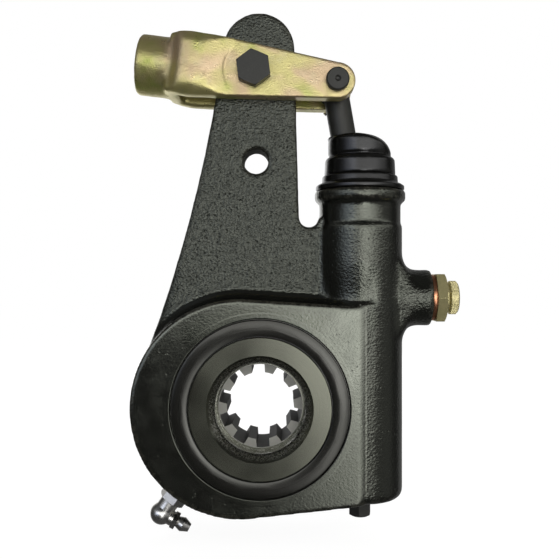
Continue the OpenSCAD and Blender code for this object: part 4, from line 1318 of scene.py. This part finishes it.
def close_tree(tree, geometry, finish, out):
    whole = add(tree, "GeometryNodeRealizeInstances", {0: geometry}).outputs[0]
    dressed = add(tree, "GeometryNodeSetMaterial", {"Geometry": whole, "Material": finish})
    tree.links.new(dressed.outputs[0], out["Geometry"])
    return tree


def grown(name, tree, values):
    piece = linked(name, bpy.data.meshes.new(name))
    change = piece.modifiers.new(name, "NODES")
    change.node_group = tree
    sockets = {item.name: item.identifier for item in tree.interface.items_tree if item.in_out == "INPUT"}
    for label, value in values.items():
        change[sockets[label]] = value
    return bake(piece)


def thread_tree():
    kinds = [(label, "NodeSocketFloat") for label in ("Radius", "Length", "Pitch", "Depth")]
    tree, given, out = node_tree("thread", kinds + [("Finish", "NodeSocketMaterial")])
    turns = math_node(tree, "DIVIDE", given["Length"], given["Pitch"])
    helix = {
        "Resolution": THREAD_STEPS, "Rotations": turns, "Height": given["Length"],
        "Start Radius": given["Radius"], "End Radius": given["Radius"],
    }
    spiral = add(tree, "GeometryNodeCurveSpiral", helix).outputs[0]
    upright = add(tree, "GeometryNodeSetCurveNormal", {"Curve": spiral}, mode="Z_UP").outputs[0]
    round_bar = {"Resolution": PROFILE_STEPS, "Radius": given["Depth"]}
    profile = add(tree, "GeometryNodeCurvePrimitiveCircle", round_bar).outputs[0]
    inputs = {"Curve": upright, "Profile Curve": profile, "Fill Caps": True}
    ridge = add(tree, "GeometryNodeCurveToMesh", inputs).outputs[0]
    return close_tree(tree, ridge, given["Finish"], out)


def cut_thread():
    values = {
        "Radius": thread_minor_r + THREAD_DEPTH, "Length": THREAD_LENGTH,
        "Pitch": THREAD_PITCH, "Depth": THREAD_DEPTH, "Finish": YELLOW_ZINC,
    }
    piece = grown("push_rod_thread", thread_tree(), values)
    turn = thread_axis.to_track_quat("Z", "Y").to_matrix().to_4x4()
    back = Matrix.Translation((0, 0, -THREAD_LENGTH / 2 - THREAD_INSET))
    piece.data.transform(Matrix.Translation(thread_at) @ turn @ back)
    return piece


push_rod_thread = cut_thread()
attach(push_rod_thread, "clevis")
print("thread ridge:", len(push_rod_thread.data.polygons), "faces")

# %% [markdown]
# ## Rubber boot
# The boot ties the moving rod to the fixed barrel. A fine remesh gives its wall an even skin,
# which is then eased. The rod drifts sideways by up to a millimetre as it rises,
# so the neck is opened a little around it.

# %% Shape the boot
BOOT_VOXEL = 0.5 * MM
BOOT_ROUNDS = 4
ROD_ROOM = 1.45 * MM


def opened_round(points, node, room):
    tree = surface_of(node)
    out = points.copy()
    for index, point in enumerate(points):
        place, normal, _, _ = tree.find_nearest(Vector(point), room)
        if place is not None:
            out[index] = place + room * normal
    return out


def shape_boot():
    piece = remeshed(merged_copy("boot", "rubber_boot"), BOOT_VOXEL)
    mesh = piece.data
    points, ends = corners_of(mesh), edges_of(mesh)
    points = relax(points, ends, np.ones(len(points)), BOOT_ROUNDS)
    write_points(mesh, opened_round(points, "actuator_rod", ROD_ROOM))
    mesh.shade_smooth()
    return stand_for(piece, "boot", RUBBER)


rubber_boot = shape_boot()
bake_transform(rubber_boot)
print("boot:", len(rubber_boot.data.polygons), "faces")

# %% [markdown]
# ## Machined pieces
# Pins, rings, the brass cap and the grease fitting come off a lathe or a mill, so their forms
# are already right. Each gets a copy with its sharp rims broken by a small bevel, because a
# real rim always catches a line of light. The crown of the cover ring is pressed a little
# flatter, so that its reflection spreads over the whole ring.

# %% Break the rims of the machined pieces
FLAT_ANGLE = math.radians(0.6)
RIM_ANGLE = math.radians(30)
CREASE_ANGLE = math.radians(42)
BEVEL_SEGMENTS = 2
CROWN_HEIGHT = 1.1 * MM
CROWN_SHARE = 0.45


def flatten_crown(mesh):
    points = corners_of(mesh)
    front = points[:, 1] < case_front + CROWN_HEIGHT
    points[front, 1] = case_front + CROWN_SHARE * (points[front, 1] - case_front)
    write_points(mesh, points)


def softened(node, name, width, reshape=None):
    piece = merged_copy(node, name)
    if reshape:
        reshape(piece.data)
    work = bmesh.new()
    work.from_mesh(piece.data)
    bmesh.ops.dissolve_limit(work, angle_limit=FLAT_ANGLE, verts=work.verts, edges=work.edges)
    folds = [edge for edge in work.edges if len(edge.link_faces) == 2]
    rims = [edge for edge in folds if edge.calc_face_angle(0) > RIM_ANGLE]
    bmesh.ops.bevel(
        work, geom=rims, offset=width, segments=BEVEL_SEGMENTS,
        profile=0.5, affect="EDGES", clamp_overlap=True,
    )
    work.to_mesh(piece.data)
    work.free()
    piece.data.shade_smooth()
    piece.data.set_sharp_from_angle(angle=CREASE_ANGLE)
    change = piece.modifiers.new("even shading", "WEIGHTED_NORMAL")
    change.keep_sharp = True
    return bake(piece)


MACHINED = {
    "clevis_pin": ("clevis_pin_head", 0.3 * MM, PIN_BLACK, "black_steel"),
    "link_pin": ("link_pin_head", 0.25 * MM, PIN_BLACK, "black_steel"),
    "actuator_rod": ("actuator_rod_steel", 0.3 * MM, PIN_BLACK, "black_steel"),
    "boot_cover": ("boot_cover_ring", 0.25 * MM, RUBBER, "black_cover"),
    "front_cover": ("front_cover_ring", 0.2 * MM, COVER_BLACK, "black_cover"),
    "pawl_cap": ("pawl_cap_hexagon", 0.25 * MM, BRASS, "brass"),
    "pawl_gasket": ("pawl_cap_gasket", 0.5 * MM, COPPER, "copper"),
    "pawl_button": ("pawl_pull_button", 0.2 * MM, BRASS, "brass"),
    "grease_fitting": ("grease_fitting_body", 0.2 * MM, BRIGHT_ZINC, "bright_zinc"),
    "clevis_cotter": ("clevis_split_pin", 0.1 * MM, SPRING_STEEL, "spring_steel"),
    "link_cotter": ("link_split_pin", 0.1 * MM, SPRING_STEEL, "spring_steel"),
}
RESHAPED = {"front_cover": flatten_crown}

for node, (name, width, material, slot) in MACHINED.items():
    piece = stand_for(softened(node, name, width, RESHAPED.get(node)), node, material)
    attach(piece, body_of[node])
    print(name, len(piece.data.polygons), "faces")

# %% [markdown]
# ### Knurl on the pull button
# The rim of the button has a straight knurl for the fingers: the same small ridge many times
# around a circle. Geometry Nodes place one ridge on each point of a circle, with the count and
# the sizes as inputs.

# %% Roll the knurl
KNURL_COUNT = 72
KNURL_LENGTH = 2.9 * MM
KNURL_RIDGE = 0.22 * MM
KNURL_SINK = 0.06 * MM
KNURL_FROM_END = 2.2 * MM
CIRCLE_STEPS = 128
RIDGE_SIDES = 6


def knurl_tree():
    kinds = [("Count", "NodeSocketInt")]
    kinds += [(label, "NodeSocketFloat") for label in ("Radius", "Length", "Ridge")]
    tree, given, out = node_tree("knurl", kinds + [("Finish", "NodeSocketMaterial")])
    rim = {"Resolution": CIRCLE_STEPS, "Radius": given["Radius"]}
    circle = add(tree, "GeometryNodeCurvePrimitiveCircle", rim).outputs[0]
    places = add(tree, "GeometryNodeCurveToPoints", {"Curve": circle, "Count": given["Count"]}).outputs[0]
    size = {
        "Vertices": RIDGE_SIDES, "Side Segments": 1,
        "Radius": given["Ridge"], "Depth": given["Length"],
    }
    ridge = add(tree, "GeometryNodeMeshCylinder", size).outputs[0]
    rows = add(tree, "GeometryNodeInstanceOnPoints", {"Points": places, "Instance": ridge}).outputs[0]
    return close_tree(tree, rows, given["Finish"], out)


def roll_knurl():
    low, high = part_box("pawl_button")
    values = {
        "Count": KNURL_COUNT, "Radius": (high.z - low.z) / 2 - KNURL_SINK,
        "Length": KNURL_LENGTH, "Ridge": KNURL_RIDGE, "Finish": BRASS,
    }
    piece = grown("pull_button_knurl", knurl_tree(), values)
    middle = Vector((high.x - KNURL_FROM_END, 0, (low.z + high.z) / 2))
    piece.data.transform(Matrix.Translation(middle) @ Matrix.Rotation(math.radians(90), 4, "Y"))
    return piece


button_knurl = roll_knurl()
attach(button_knurl, "pawl")
print("knurl:", len(button_knurl.data.polygons), "faces")

# %% [markdown]
# ## Pieces that keep their own mesh
# The gear, the worm and most of what is inside already have the right form. They only need
# their finish, which goes into the node's own material slot.

# %% Dress the rest of the frame
FINISHES = {
    "arm_bush": BRONZE, "front_seal": RUBBER, "front_washer": BRONZE, "rear_seal": RUBBER,
    "rear_washer": BRONZE, "worm_gear": GEAR_STEEL, "worm": PIN_BLACK, "worm_washer": BRONZE,
    "worm_bush": BRONZE, "worm_ring": SPRING_STEEL, "worm_seal": RUBBER, "sleeve": GEAR_STEEL,
    "piston": GEAR_STEEL, "piston_pin": SPRING_STEEL, "piston_ring": SPRING_STEEL, "pawl": GEAR_STEEL,
    "grease_ball": SPRING_STEEL,
}

for node, material in FINISHES.items():
    nodes[node].data.materials.clear()
    nodes[node].data.materials.append(material)
print("dressed nodes:", len(FINISHES))

# %% [markdown]
# ## Pawl spring
# Pulling the button presses the spring against the cap. A copy of the spring stands for it,
# and the share of its length that stays after that pull is worked out.

# %% Copy the pawl spring
PAWL_PULL = 2.0 * MM


def pressed_spring():
    piece = merged_copy("pawl_spring", "pawl_return_spring")
    stand_for(piece, "pawl_spring", SPRING_STEEL)
    piece.data.shade_smooth()
    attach(piece, body_of["pawl_spring"])
    low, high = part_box("pawl_spring")
    keep = 1 - PAWL_PULL / (high.x - low.x)
    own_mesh(piece)
    return keep


print("pawl spring keeps", round(pressed_spring(), 3), "of its length")

# %% [markdown]
# ## Size and end
# The looks must not change the size of the part.

# %% Finish
print("finished")
